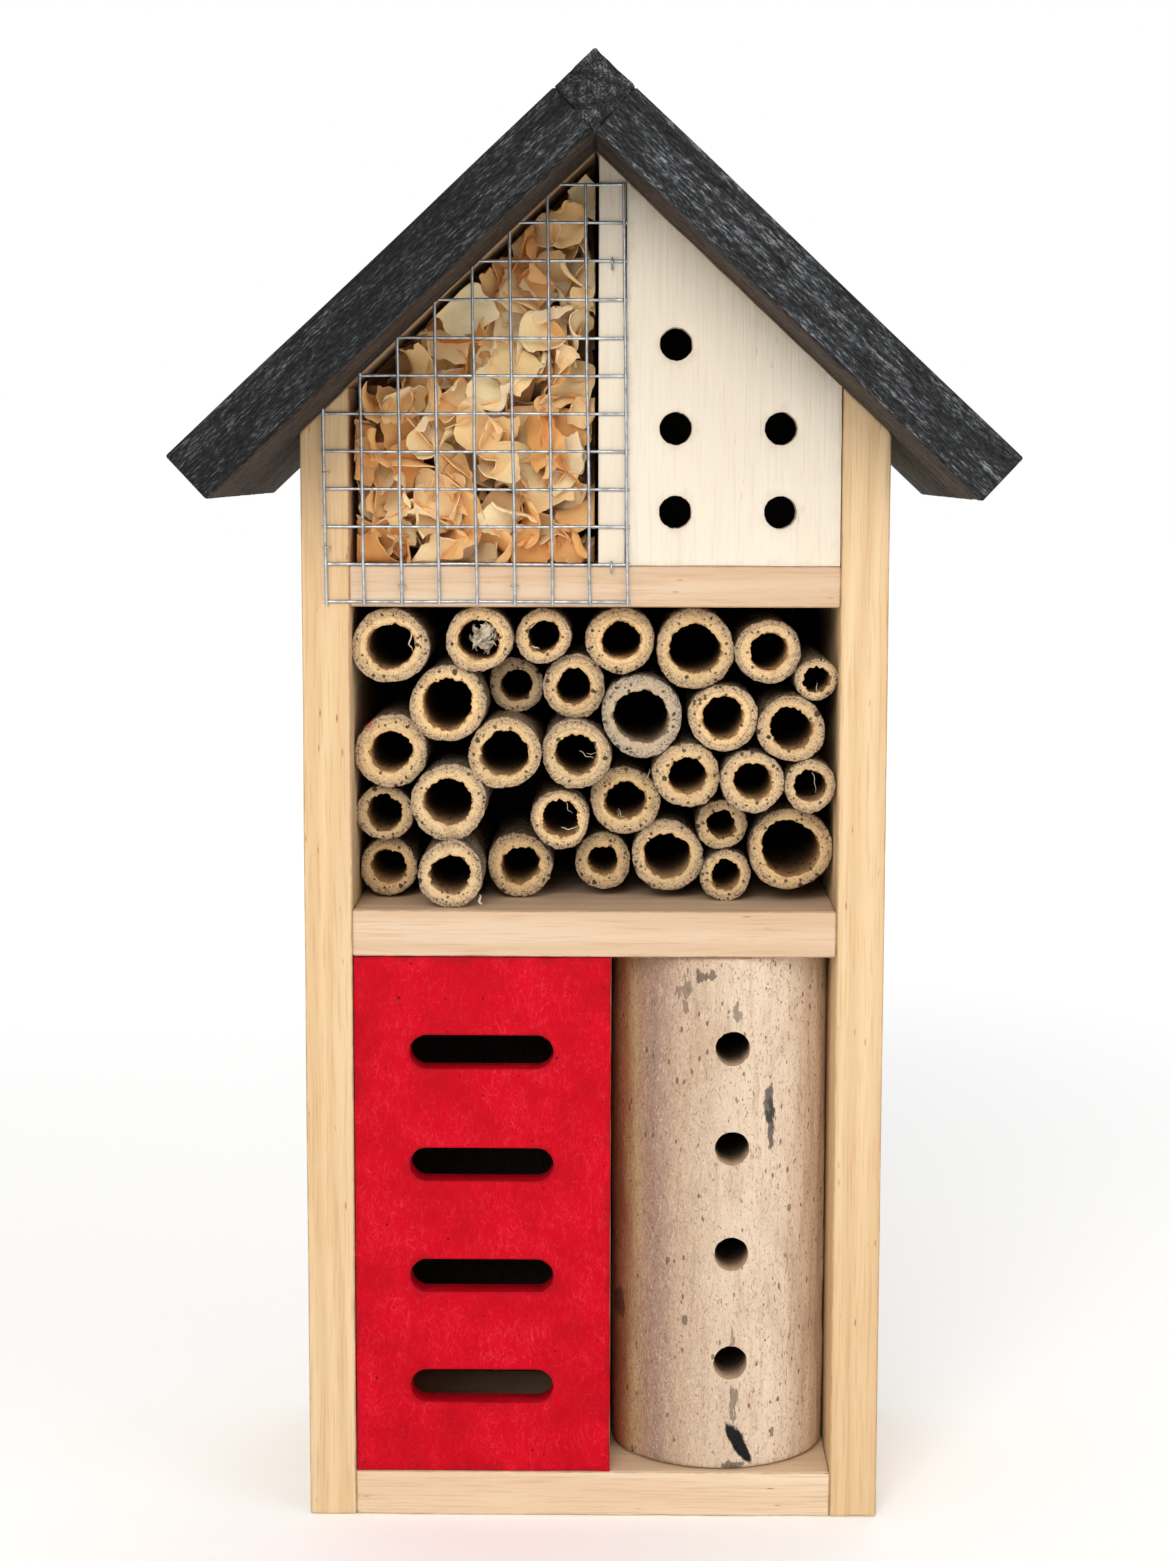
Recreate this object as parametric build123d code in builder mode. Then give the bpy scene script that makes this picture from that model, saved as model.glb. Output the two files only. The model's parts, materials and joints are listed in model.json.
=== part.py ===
from build123d import *
import os
from math import cos, radians, sin, tan

# Insect hotel: a small gabled timber house with rooms for bees, butterflies and beetles.
# Millimetres, +Z up, front towards -Y, origin on the ground under the middle of the roof.

# Roof
ROOF_PITCH = 43.0
ROOF_HALF_SPAN = 68.0
ROOF_THICKNESS = 9.4
ROOF_DEPTH = 87.0
FRONT_OVERHANG = 27.0
REAR_OVERHANG = 1.5

# Body boards
BODY_WIDTH = 99.4
SIDE_THICKNESS = 8.2
SIDE_HEIGHT = 188.85
BACK_THICKNESS = 4.0
BOTTOM_THICKNESS = 8.0
MIDDLE_SHELF_UNDERSIDE = 99.5
MIDDLE_SHELF_THICKNESS = 8.0
UPPER_SHELF_UNDERSIDE = 159.5
UPPER_SHELF_THICKNESS = 7.0
DIVIDER_THICKNESS = 4.5
UPPER_DIVIDER_LEFT = 0.5
PANEL_THICKNESS = 5.0
FITTING_GAP = 0.15

# Drilled panel, top right
DRILLED_HOLE_DIAMETER = 5.5
DRILLED_COLUMNS = (13.5, 31.2)
DRILLED_FIRST_HEIGHT = 175.5
DRILLED_PITCH = 14.0
DRILLED_TOP_HEIGHT = DRILLED_FIRST_HEIGHT + 2 * DRILLED_PITCH

# Butterfly panel, bottom left
BUTTERFLY_RIGHT = 2.9
SLOT_LENGTH = 24.8
SLOT_HEIGHT = 5.8
SLOT_CENTRE_X = -19.4
SLOT_FIRST_HEIGHT = 23.4
SLOT_PITCH = 19.8
SLOT_COUNT = 4

# Log block, bottom right
LOG_RADIUS = 19.2
LOG_CENTRE_X = 22.2
LOG_SETBACK = 1.0
LOG_HOLE_X = 24.0
LOG_HOLE_DIAMETER = 6.0
LOG_HOLE_DEPTH = 28.0
LOG_HOLE_HEIGHTS = (27.4, 46.9, 65.7, 83.3)

# Bamboo canes: x, z, outer diameter, bore, and how far the end stands behind the front face
CANES = (
    (-36.3, 113.1, 10.1, 5.9, 13.5),
    (-24.8, 113.3, 11.4, 6.8, 3.0),
    (-13.3, 113.4, 11.3, 6.6, 13.9),
    (1.4, 113.9, 9.9, 5.3, 16.1),
    (12.7, 115.3, 12.5, 8.0, 13.1),
    (22.9, 112.0, 8.8, 5.3, 11.5),
    (34.0, 117.1, 14.3, 9.9, 9.0),
    (-36.6, 123.1, 9.7, 6.2, 9.6),
    (-25.1, 125.7, 13.1, 8.1, 3.8),
    (-6.0, 122.3, 10.2, 6.5, 8.0),
    (5.2, 125.2, 12.0, 6.8, 11.5),
    (22.1, 120.9, 8.7, 5.0, 12.4),
    (-35.1, 134.3, 12.6, 7.1, 5.9),
    (-15.5, 134.2, 12.3, 8.0, 3.8),
    (-3.2, 133.9, 11.9, 7.0, 5.5),
    (15.8, 130.4, 11.3, 6.4, 4.7),
    (27.0, 129.5, 10.8, 6.4, 3.0),
    (36.9, 128.8, 8.9, 5.5, 3.0),
    (-25.2, 142.7, 13.2, 8.7, 4.1),
    (-13.9, 145.1, 9.5, 5.5, 14.8),
    (-3.6, 145.4, 10.8, 6.1, 8.0),
    (8.0, 140.6, 13.9, 9.2, 4.5),
    (22.0, 140.4, 11.7, 7.1, 3.7),
    (33.6, 138.6, 11.4, 7.2, 3.0),
    (-35.0, 152.6, 12.9, 7.9, 3.0),
    (-19.8, 153.8, 11.2, 6.9, 3.0),
    (-8.9, 154.2, 9.4, 5.5, 5.4),
    (4.3, 153.5, 11.5, 6.5, 5.7),
    (17.1, 152.1, 13.5, 8.6, 4.7),
    (29.6, 151.7, 11.1, 6.3, 4.6),
    (37.8, 147.1, 7.2, 4.6, 3.0),
)

CANE_REAR_GAP = 0.5

# Filling of wood shavings, top left
SHAVINGS_SETBACK = 2.0
SHAVINGS_CLEARANCE = 0.4

# Welded wire mesh over the shavings, and the staples that hold it
WIRE_DIAMETER = 0.65
MESH_COLUMN_PITCH = 6.35
MESH_ROW_PITCH = 6.3
MESH_COLUMNS = 9
MESH_ROWS = 12
MESH_LEFT = -45.3
MESH_BOTTOM = 160.0
WIRE_END = 0.5
WELD_SINK = 0.2
WIRE_CLEARANCE = 0.05
ROOF_CLEARANCE = 0.4
STAPLE_CROWN = 1.6
STAPLE_THICKNESS = 0.45
STAPLE_LEG = 5.0

# Nails and the keyhole hanger on the back
NAIL_DIAMETER = 1.4
NAIL_HEAD_DIAMETER = 3.0
NAIL_HEAD_THICKNESS = 0.6
NAIL_LENGTH = 20.0
NAIL_FRONT_INSET = 10.0
NAIL_REAR_INSET = 12.0
LOG_NAIL_OFFSET = 8.0
BACK_NAIL_LENGTH = 14.0
ROOF_NAIL_LENGTH = 13.0
BACK_NAIL_HEIGHTS = (14.0, 60.0, 135.0, 178.0)
SCREW_DIAMETER = 2.4
SCREW_HEAD_DIAMETER = 4.6
SCREW_LENGTH = 4.8
HANGER_THICKNESS = 1.0
HANGER_WIDTH = 30.0
HANGER_HEIGHT = 15.0
HANGER_CENTRE_Z = 203.0
HANGER_SCREW_SPACING = 21.0
KEYHOLE_RADIUS = 4.0
KEYHOLE_SLOT_WIDTH = 4.2
KEYHOLE_SLOT_TOP = 5.0
KEYHOLE_DROP = 2.0
HEAD_POCKET_DIAMETER = 13.0
HEAD_POCKET_DEPTH = 3.0

# Worked out from the sizes above
SLOPE = tan(radians(ROOF_PITCH))
FRONT = -ROOF_DEPTH / 2 + FRONT_OVERHANG
BACK = ROOF_DEPTH / 2 - REAR_OVERHANG
BOARD_BACK = BACK - BACK_THICKNESS
BOARD_DEPTH = BOARD_BACK - FRONT
HALF_WIDTH = BODY_WIDTH / 2
INNER_HALF = HALF_WIDTH - SIDE_THICKNESS
RIDGE_UNDERSIDE = SIDE_HEIGHT + HALF_WIDTH * SLOPE
RIDGE_TOP = RIDGE_UNDERSIDE + ROOF_THICKNESS / cos(radians(ROOF_PITCH))
THICKNESS_X = ROOF_THICKNESS * sin(radians(ROOF_PITCH))
THICKNESS_Z = ROOF_THICKNESS * cos(radians(ROOF_PITCH))
MIDDLE_SHELF_TOP = MIDDLE_SHELF_UNDERSIDE + MIDDLE_SHELF_THICKNESS
UPPER_SHELF_TOP = UPPER_SHELF_UNDERSIDE + UPPER_SHELF_THICKNESS
UPPER_DIVIDER_RIGHT = UPPER_DIVIDER_LEFT + DIVIDER_THICKNESS
LOG_CENTRE_Y = FRONT + LOG_SETBACK + LOG_RADIUS
NAIL_ROWS = (FRONT + NAIL_FRONT_INSET, BOARD_BACK - NAIL_REAR_INSET)
SHELF_CENTRES = (
    BOTTOM_THICKNESS / 2,
    MIDDLE_SHELF_UNDERSIDE + MIDDLE_SHELF_THICKNESS / 2,
    UPPER_SHELF_UNDERSIDE + UPPER_SHELF_THICKNESS / 2,
)
UPPER_DIVIDER_CENTRE = UPPER_DIVIDER_LEFT + DIVIDER_THICKNESS / 2

os.makedirs("parts", exist_ok=True)


def roof_underside(x):
    """Height of the underside of the roof at a distance x from the middle."""
    return RIDGE_UNDERSIDE - abs(x) * SLOPE


def wire_x(column):
    """Place of an upright wire of the mesh, counted from the left."""
    return MESH_LEFT + column * MESH_COLUMN_PITCH


def wire_z(row):
    """Height of a level wire of the mesh, counted from the bottom."""
    return MESH_BOTTOM + row * MESH_ROW_PITCH


def finish(piece, label):
    """Name a finished piece and write it to its own file."""
    piece.part.label = label
    export_step(piece.part, f"parts/{label}.step")


def board(label, outline, y_front, depth, cutters=()):
    """A piece with a straight-sided outline in X and Z, running back from y_front."""
    with BuildPart() as piece:
        with BuildSketch(Plane.XZ.offset(-y_front)):
            with BuildLine():
                Polyline(*outline, close=True)
            make_face()
        extrude(amount=-depth)
        for cutter in cutters:
            add(cutter.part, mode=Mode.SUBTRACT)
    finish(piece, label)
    return piece


def rectangle(x_low, x_high, z_low, z_high):
    """The four corners of an upright rectangle."""
    return [(x_low, z_low), (x_high, z_low), (x_high, z_high), (x_low, z_high)]


def pin(shank, head, head_thickness, length):
    """A nail or screw that points down, with the top of its head at the origin."""
    with BuildPart() as piece:
        with BuildSketch(Plane.XZ):
            with BuildLine():
                Polyline(
                    (0, 0),
                    (head / 2, 0),
                    (head / 2, -head_thickness / 2),
                    (shank / 2, -head_thickness),
                    (shank / 2, -length + shank),
                    (0, -length),
                    close=True,
                )
            make_face()
        revolve(axis=Axis.Z)
    return piece.part


def group(label, piece, places):
    """One node that holds a copy of a fastener at each place."""
    with BuildPart() as copies:
        with Locations(*places):
            add(piece)
    finish(copies, label)
    return copies


# Fasteners
nail = pin(NAIL_DIAMETER, NAIL_HEAD_DIAMETER, NAIL_HEAD_THICKNESS, NAIL_LENGTH)
back_nail = pin(NAIL_DIAMETER, NAIL_HEAD_DIAMETER, NAIL_HEAD_THICKNESS, BACK_NAIL_LENGTH)
roof_nail = pin(NAIL_DIAMETER, NAIL_HEAD_DIAMETER, NAIL_HEAD_THICKNESS, ROOF_NAIL_LENGTH)
screw = pin(SCREW_DIAMETER, SCREW_HEAD_DIAMETER, SCREW_HEAD_DIAMETER / 2, SCREW_LENGTH)

side_places = [
    Location((side * HALF_WIDTH, y, z), (0, side * 90, 0))
    for side in (-1, 1)
    for y in NAIL_ROWS
    for z in SHELF_CENTRES
]
side_nails = group("side_nails", nail, side_places)

ROOF_NAIL_X = HALF_WIDTH - SIDE_THICKNESS / 2 + THICKNESS_X
ROOF_NAIL_Z = roof_underside(HALF_WIDTH - SIDE_THICKNESS / 2) + THICKNESS_Z
roof_places = [
    Location((side * ROOF_NAIL_X, y, ROOF_NAIL_Z), (0, side * ROOF_PITCH, 0))
    for side in (-1, 1)
    for y in NAIL_ROWS
]
roof_nails = group("roof_nails", roof_nail, roof_places)

back_places = [
    Location((side * (HALF_WIDTH - SIDE_THICKNESS / 2), BACK, z), (-90, 0, 0))
    for side in (-1, 1)
    for z in BACK_NAIL_HEIGHTS
]
back_nails = group("back_nails", back_nail, back_places)

log_places = [
    Location((LOG_CENTRE_X, LOG_CENTRE_Y + offset, 0), (180, 0, 0))
    for offset in (-LOG_NAIL_OFFSET, LOG_NAIL_OFFSET)
]
log_nails = group("log_nails", nail, log_places)

hanger_places = [
    Location((side * HANGER_SCREW_SPACING / 2, BACK + HANGER_THICKNESS, HANGER_CENTRE_Z), (-90, 0, 0))
    for side in (-1, 1)
]
hanger_screws = group("hanger_screws", screw, hanger_places)

# Staples: a flat crown across one wire of the mesh and two legs into the wood
MESH_OUTER = FRONT - 2 * WIRE_DIAMETER + WELD_SINK - WIRE_CLEARANCE
CROWN_INNER = MESH_OUTER - WIRE_CLEARANCE
with BuildPart() as staple:
    with BuildSketch(Plane.XY):
        with BuildLine():
            Polyline(
                (-STAPLE_CROWN / 2 - STAPLE_THICKNESS, CROWN_INNER - STAPLE_THICKNESS),
                (STAPLE_CROWN / 2 + STAPLE_THICKNESS, CROWN_INNER - STAPLE_THICKNESS),
                (STAPLE_CROWN / 2 + STAPLE_THICKNESS, FRONT + STAPLE_LEG),
                (STAPLE_CROWN / 2, FRONT + STAPLE_LEG),
                (STAPLE_CROWN / 2, CROWN_INNER),
                (-STAPLE_CROWN / 2, CROWN_INNER),
                (-STAPLE_CROWN / 2, FRONT + STAPLE_LEG),
                (-STAPLE_CROWN / 2 - STAPLE_THICKNESS, FRONT + STAPLE_LEG),
                close=True,
            )
        make_face()
    extrude(amount=STAPLE_THICKNESS / 2, both=True)

SHELF_STAPLE_Z = wire_z(0) + MESH_ROW_PITCH / 2
staple_places = [
    Location((wire_x(0), 0, wire_z(1) + MESH_ROW_PITCH / 2)),
    Location((wire_x(0), 0, wire_z(3) + MESH_ROW_PITCH / 2)),
    Location((wire_x(2), 0, SHELF_STAPLE_Z)),
    Location((wire_x(5), 0, SHELF_STAPLE_Z)),
    Location((UPPER_DIVIDER_CENTRE, 0, wire_z(1)), (0, 90, 0)),
    Location((UPPER_DIVIDER_CENTRE, 0, wire_z(9)), (0, 90, 0)),
]
mesh_staples = group("mesh_staples", staple.part, staple_places)

# Side boards, tops cut to the slope of the roof
for side_name, side in (("left", -1), ("right", 1)):
    side_outline = [
        (side * INNER_HALF, 0),
        (side * HALF_WIDTH, 0),
        (side * HALF_WIDTH, roof_underside(HALF_WIDTH)),
        (side * INNER_HALF, roof_underside(INNER_HALF)),
    ]
    board(
        f"side_board_{side_name}",
        side_outline,
        FRONT,
        BOARD_DEPTH,
        (side_nails, roof_nails, back_nails, mesh_staples),
    )

# Floor and shelves between the side boards
bottom_outline = rectangle(-INNER_HALF, INNER_HALF, 0, BOTTOM_THICKNESS)
board("bottom_board", bottom_outline, FRONT, BOARD_DEPTH, (side_nails, log_nails))

middle_outline = rectangle(-INNER_HALF, INNER_HALF, MIDDLE_SHELF_UNDERSIDE, MIDDLE_SHELF_TOP)
board("middle_shelf", middle_outline, FRONT, BOARD_DEPTH, (side_nails,))

upper_outline = rectangle(-INNER_HALF, INNER_HALF, UPPER_SHELF_UNDERSIDE, UPPER_SHELF_TOP)
board("upper_shelf", upper_outline, FRONT, BOARD_DEPTH, (side_nails, mesh_staples))

# Dividers
upper_divider_outline = [
    (UPPER_DIVIDER_LEFT, UPPER_SHELF_TOP),
    (UPPER_DIVIDER_RIGHT, UPPER_SHELF_TOP),
    (UPPER_DIVIDER_RIGHT, roof_underside(UPPER_DIVIDER_RIGHT)),
    (UPPER_DIVIDER_LEFT, roof_underside(UPPER_DIVIDER_LEFT)),
]
board("upper_divider", upper_divider_outline, FRONT, BOARD_DEPTH, (mesh_staples,))

lower_divider_outline = rectangle(
    BUTTERFLY_RIGHT - DIVIDER_THICKNESS, BUTTERFLY_RIGHT, BOTTOM_THICKNESS, MIDDLE_SHELF_UNDERSIDE
)
board("lower_divider", lower_divider_outline, FRONT + PANEL_THICKNESS, BOARD_DEPTH - PANEL_THICKNESS)

# Back panel over the rear edges of the boards, with a pocket behind the hanger's keyhole
with BuildPart() as back_panel:
    with BuildSketch(Plane.XZ.offset(-BOARD_BACK)):
        with BuildLine():
            Polyline(
                (-HALF_WIDTH, 0),
                (HALF_WIDTH, 0),
                (HALF_WIDTH, SIDE_HEIGHT),
                (0, RIDGE_UNDERSIDE),
                (-HALF_WIDTH, SIDE_HEIGHT),
                close=True,
            )
        make_face()
    extrude(amount=-BACK_THICKNESS)
    with BuildSketch(Plane.XZ.offset(-BACK)):
        with Locations((0, HANGER_CENTRE_Z)):
            Circle(HEAD_POCKET_DIAMETER / 2)
    extrude(amount=HEAD_POCKET_DEPTH, mode=Mode.SUBTRACT)
    add(back_nails.part, mode=Mode.SUBTRACT)
    add(hanger_screws.part, mode=Mode.SUBTRACT)
finish(back_panel, "back_panel")

# Keyhole hanger: the wall screw's head goes in at the round hole and slides up the slot
with BuildPart() as hanger_plate:
    with BuildSketch(Plane.XZ.offset(-BACK)):
        with Locations((0, HANGER_CENTRE_Z)):
            SlotOverall(HANGER_WIDTH, HANGER_HEIGHT)
        with Locations((0, HANGER_CENTRE_Z - KEYHOLE_DROP)):
            Circle(KEYHOLE_RADIUS, mode=Mode.SUBTRACT)
        with Locations((0, HANGER_CENTRE_Z + KEYHOLE_SLOT_TOP / 2 - KEYHOLE_DROP / 2)):
            Rectangle(KEYHOLE_SLOT_WIDTH, KEYHOLE_SLOT_TOP + KEYHOLE_DROP, mode=Mode.SUBTRACT)
    extrude(amount=-HANGER_THICKNESS)
    add(hanger_screws.part, mode=Mode.SUBTRACT)
finish(hanger_plate, "hanger_plate")

# Roof: two boards that butt against a square ridge batten, ends cut square to the slope
for side_name, side in (("left", -1), ("right", 1)):
    eave_top_z = RIDGE_TOP - ROOF_HALF_SPAN * SLOPE
    roof_outline = [
        (0, RIDGE_UNDERSIDE),
        (side * THICKNESS_X, RIDGE_UNDERSIDE + THICKNESS_Z),
        (side * ROOF_HALF_SPAN, eave_top_z),
        (side * (ROOF_HALF_SPAN - THICKNESS_X), eave_top_z - THICKNESS_Z),
    ]
    board(f"roof_board_{side_name}", roof_outline, -ROOF_DEPTH / 2, ROOF_DEPTH, (roof_nails,))

ridge_outline = [
    (0, RIDGE_UNDERSIDE),
    (THICKNESS_X, RIDGE_UNDERSIDE + THICKNESS_Z),
    (0, RIDGE_TOP),
    (-THICKNESS_X, RIDGE_UNDERSIDE + THICKNESS_Z),
]
board("ridge_batten", ridge_outline, -ROOF_DEPTH / 2, ROOF_DEPTH)

# Drilled panel that closes the room under the right-hand slope
drilled_left = UPPER_DIVIDER_RIGHT + FITTING_GAP
drilled_right = INNER_HALF - FITTING_GAP
with BuildPart() as drilled_panel:
    with BuildSketch(Plane.XZ.offset(-FRONT)):
        with BuildLine():
            Polyline(
                (drilled_left, UPPER_SHELF_TOP),
                (drilled_right, UPPER_SHELF_TOP),
                (drilled_right, roof_underside(drilled_right) - FITTING_GAP),
                (drilled_left, roof_underside(drilled_left) - FITTING_GAP),
                close=True,
            )
        make_face()
        with Locations(
            (DRILLED_COLUMNS[0], DRILLED_FIRST_HEIGHT),
            (DRILLED_COLUMNS[1], DRILLED_FIRST_HEIGHT),
            (DRILLED_COLUMNS[0], DRILLED_FIRST_HEIGHT + DRILLED_PITCH),
            (DRILLED_COLUMNS[1], DRILLED_FIRST_HEIGHT + DRILLED_PITCH),
            (DRILLED_COLUMNS[0], DRILLED_TOP_HEIGHT),
        ):
            Circle(DRILLED_HOLE_DIAMETER / 2, mode=Mode.SUBTRACT)
    extrude(amount=-PANEL_THICKNESS)
finish(drilled_panel, "drilled_panel")

# Butterfly panel with its slots
with BuildPart() as butterfly_panel:
    with BuildSketch(Plane.XZ.offset(-FRONT)):
        with BuildLine():
            Polyline(
                *rectangle(
                    -INNER_HALF + FITTING_GAP,
                    BUTTERFLY_RIGHT,
                    BOTTOM_THICKNESS,
                    MIDDLE_SHELF_UNDERSIDE - FITTING_GAP,
                ),
                close=True,
            )
        make_face()
        slot_middle = SLOT_FIRST_HEIGHT + SLOT_PITCH * (SLOT_COUNT - 1) / 2
        with Locations((SLOT_CENTRE_X, slot_middle)):
            with GridLocations(SLOT_LENGTH, SLOT_PITCH, 1, SLOT_COUNT):
                SlotOverall(SLOT_LENGTH, SLOT_HEIGHT, mode=Mode.SUBTRACT)
    extrude(amount=-PANEL_THICKNESS)
finish(butterfly_panel, "butterfly_panel")

# Log block with blind holes
with BuildPart() as log_block:
    with BuildSketch(Plane.XY.offset(BOTTOM_THICKNESS)):
        with Locations((LOG_CENTRE_X, LOG_CENTRE_Y)):
            Circle(LOG_RADIUS)
    extrude(amount=MIDDLE_SHELF_UNDERSIDE - BOTTOM_THICKNESS)
    with BuildSketch(Plane.XZ.offset(-FRONT)):
        with Locations(*[(LOG_HOLE_X, z) for z in LOG_HOLE_HEIGHTS]):
            Circle(LOG_HOLE_DIAMETER / 2)
    extrude(amount=-LOG_HOLE_DEPTH, mode=Mode.SUBTRACT)
    add(log_nails.part, mode=Mode.SUBTRACT)
finish(log_block, "log_block")

# Bamboo canes, each from its own setback to just short of the back panel
for number, (cane_x, cane_z, outer, bore, setback) in enumerate(CANES, start=1):
    with BuildPart() as cane:
        with BuildSketch(Plane.XZ.offset(-FRONT - setback)):
            with Locations((cane_x, cane_z)):
                Circle(outer / 2)
                Circle(bore / 2, mode=Mode.SUBTRACT)
        extrude(amount=-(BOARD_DEPTH - setback - CANE_REAR_GAP))
    finish(cane, f"cane_{number:02d}")

# Wood shavings: one plain filling of the room under the left-hand slope
shavings_left = -INNER_HALF + SHAVINGS_CLEARANCE
shavings_right = UPPER_DIVIDER_LEFT - SHAVINGS_CLEARANCE
board(
    "wood_shavings",
    [
        (shavings_left, UPPER_SHELF_TOP + SHAVINGS_CLEARANCE),
        (shavings_right, UPPER_SHELF_TOP + SHAVINGS_CLEARANCE),
        (shavings_right, roof_underside(shavings_right) - 2 * SHAVINGS_CLEARANCE),
        (0, roof_underside(0) - 2 * SHAVINGS_CLEARANCE),
        (shavings_left, roof_underside(shavings_left) - 2 * SHAVINGS_CLEARANCE),
    ],
    FRONT + SHAVINGS_SETBACK,
    BOARD_DEPTH - SHAVINGS_SETBACK - SHAVINGS_CLEARANCE,
)

# Wire mesh: upright wires welded in front of level wires, trimmed under the roof
level_y = FRONT - WIRE_DIAMETER / 2 - WIRE_CLEARANCE
upright_y = level_y - WIRE_DIAMETER + WELD_SINK
with BuildPart() as wire_mesh:
    for column in range(MESH_COLUMNS):
        x = wire_x(column)
        top = min(roof_underside(x) - ROOF_CLEARANCE, wire_z(MESH_ROWS - 1) + WIRE_END)
        low = MESH_BOTTOM - WIRE_END
        with Locations((x, upright_y, (low + top) / 2)):
            Cylinder(WIRE_DIAMETER / 2, top - low)
    for row in range(MESH_ROWS):
        z = wire_z(row)
        reach = (RIDGE_UNDERSIDE - ROOF_CLEARANCE - z) / SLOPE - WIRE_DIAMETER / 2
        left = max(-reach, MESH_LEFT - WIRE_END)
        right = min(reach, wire_x(MESH_COLUMNS - 1) + WIRE_END)
        with Locations(((left + right) / 2, level_y, z)):
            Cylinder(WIRE_DIAMETER / 2, right - left, rotation=(0, 90, 0))
finish(wire_mesh, "wire_mesh")

print("ridge top", round(RIDGE_TOP, 2), "body front", FRONT, "body back", BACK)
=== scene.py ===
import itertools
import json
import math

import bmesh
import bpy
import numpy as np
from mathutils import Matrix, Vector, geometry

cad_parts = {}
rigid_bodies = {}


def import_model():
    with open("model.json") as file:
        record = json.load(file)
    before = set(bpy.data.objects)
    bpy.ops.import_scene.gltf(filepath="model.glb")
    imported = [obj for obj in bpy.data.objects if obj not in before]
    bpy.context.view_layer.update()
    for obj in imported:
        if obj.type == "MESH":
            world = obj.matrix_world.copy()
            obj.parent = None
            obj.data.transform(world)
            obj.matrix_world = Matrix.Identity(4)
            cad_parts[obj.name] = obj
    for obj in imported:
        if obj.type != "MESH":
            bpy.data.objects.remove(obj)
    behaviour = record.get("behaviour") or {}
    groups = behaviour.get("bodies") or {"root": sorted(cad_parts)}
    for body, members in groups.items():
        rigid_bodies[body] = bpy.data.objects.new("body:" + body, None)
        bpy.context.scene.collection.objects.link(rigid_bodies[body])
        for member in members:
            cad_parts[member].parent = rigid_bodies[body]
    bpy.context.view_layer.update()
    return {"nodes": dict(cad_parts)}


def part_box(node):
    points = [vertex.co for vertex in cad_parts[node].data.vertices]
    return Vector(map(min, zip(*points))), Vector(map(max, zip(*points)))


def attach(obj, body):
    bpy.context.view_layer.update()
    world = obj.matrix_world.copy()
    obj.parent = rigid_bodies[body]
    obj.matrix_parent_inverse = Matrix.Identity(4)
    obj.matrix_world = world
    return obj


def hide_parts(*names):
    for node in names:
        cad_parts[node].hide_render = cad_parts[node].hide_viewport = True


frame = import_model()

# The looks of a small gabled insect hotel. Metres, +Z up, the open front towards -Y.
MM = 0.001
BODY = "root"
rng = np.random.default_rng(26)

# ------------------------------------------------------------------ places, read from the frame
SIDE_LOW, SIDE_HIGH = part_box("side_board_left")
FRONT = SIDE_LOW.y
INNER_HALF = -SIDE_HIGH.x
RIDGE_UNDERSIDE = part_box("ridge_batten")[0].z
ROOF_FRONT, ROOF_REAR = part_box("ridge_batten")[0].y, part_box("ridge_batten")[1].y
ROOF_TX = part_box("ridge_batten")[1].x
SLOPE = (RIDGE_UNDERSIDE - SIDE_HIGH.z) / INNER_HALF
PITCH = math.atan(SLOPE)
ROOF_THICKNESS = ROOF_TX / math.sin(PITCH)
CANE_NODES = sorted(name for name in frame["nodes"] if name.startswith("cane_"))


def roof_underside(x):
    """Height of the underside of the roof at a distance x from the middle."""
    return RIDGE_UNDERSIDE - np.abs(x) * SLOPE


# ------------------------------------------------------------------ camera, light and floor
# The viewpoint: its distance from the boards' front, height, side step, picture shift and turns
CAMERA_DISTANCE = 468 * MM
CAMERA_HEIGHT = 183.9 * MM
CAMERA_SIDE = 4.0 * MM
CAMERA_SHIFT = -0.0061
CAMERA_DIP = math.radians(6.57)
CAMERA_HEADING = math.radians(0.49)
CAMERA_ROLL = math.radians(0.14)
CAMERA_LENS = 63.8
# Strength of the surroundings as light, and of the far floor's own glow, which hides the horizon
WORLD_GLOW = 0.72
FLOOR_GLOW = 0.34
FLOOR_HALF = 6.0


def make_camera():
    """The viewpoint in front of the house, a little above its middle and looking slightly down."""
    data = bpy.data.cameras.new("camera")
    data.lens = CAMERA_LENS
    data.shift_x = CAMERA_SHIFT
    data.sensor_width = 36
    data.clip_start = 0.01
    data.clip_end = 50
    camera = bpy.data.objects.new("camera", data)
    place = Matrix.Translation((CAMERA_SIDE, FRONT - CAMERA_DISTANCE, CAMERA_HEIGHT))
    turn = Matrix.Rotation(CAMERA_HEADING, 4, "Z") @ Matrix.Rotation(math.pi / 2 - CAMERA_DIP, 4, "X")
    camera.matrix_world = place @ turn @ Matrix.Rotation(CAMERA_ROLL, 4, "Z")
    bpy.context.scene.collection.objects.link(camera)
    bpy.context.scene.camera = camera


def area_light(name, place, aim, size, power, colour):
    """A square soft box at place that shines towards aim."""
    data = bpy.data.lights.new(name, "AREA")
    data.shape = "SQUARE"
    data.size = size
    data.energy = power
    data.color = colour
    light = bpy.data.objects.new(name, data)
    light.location = place
    light.rotation_mode = "QUATERNION"
    light.rotation_quaternion = (Vector(aim) - Vector(place)).to_track_quat("-Z", "Y")
    bpy.context.scene.collection.objects.link(light)


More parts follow.
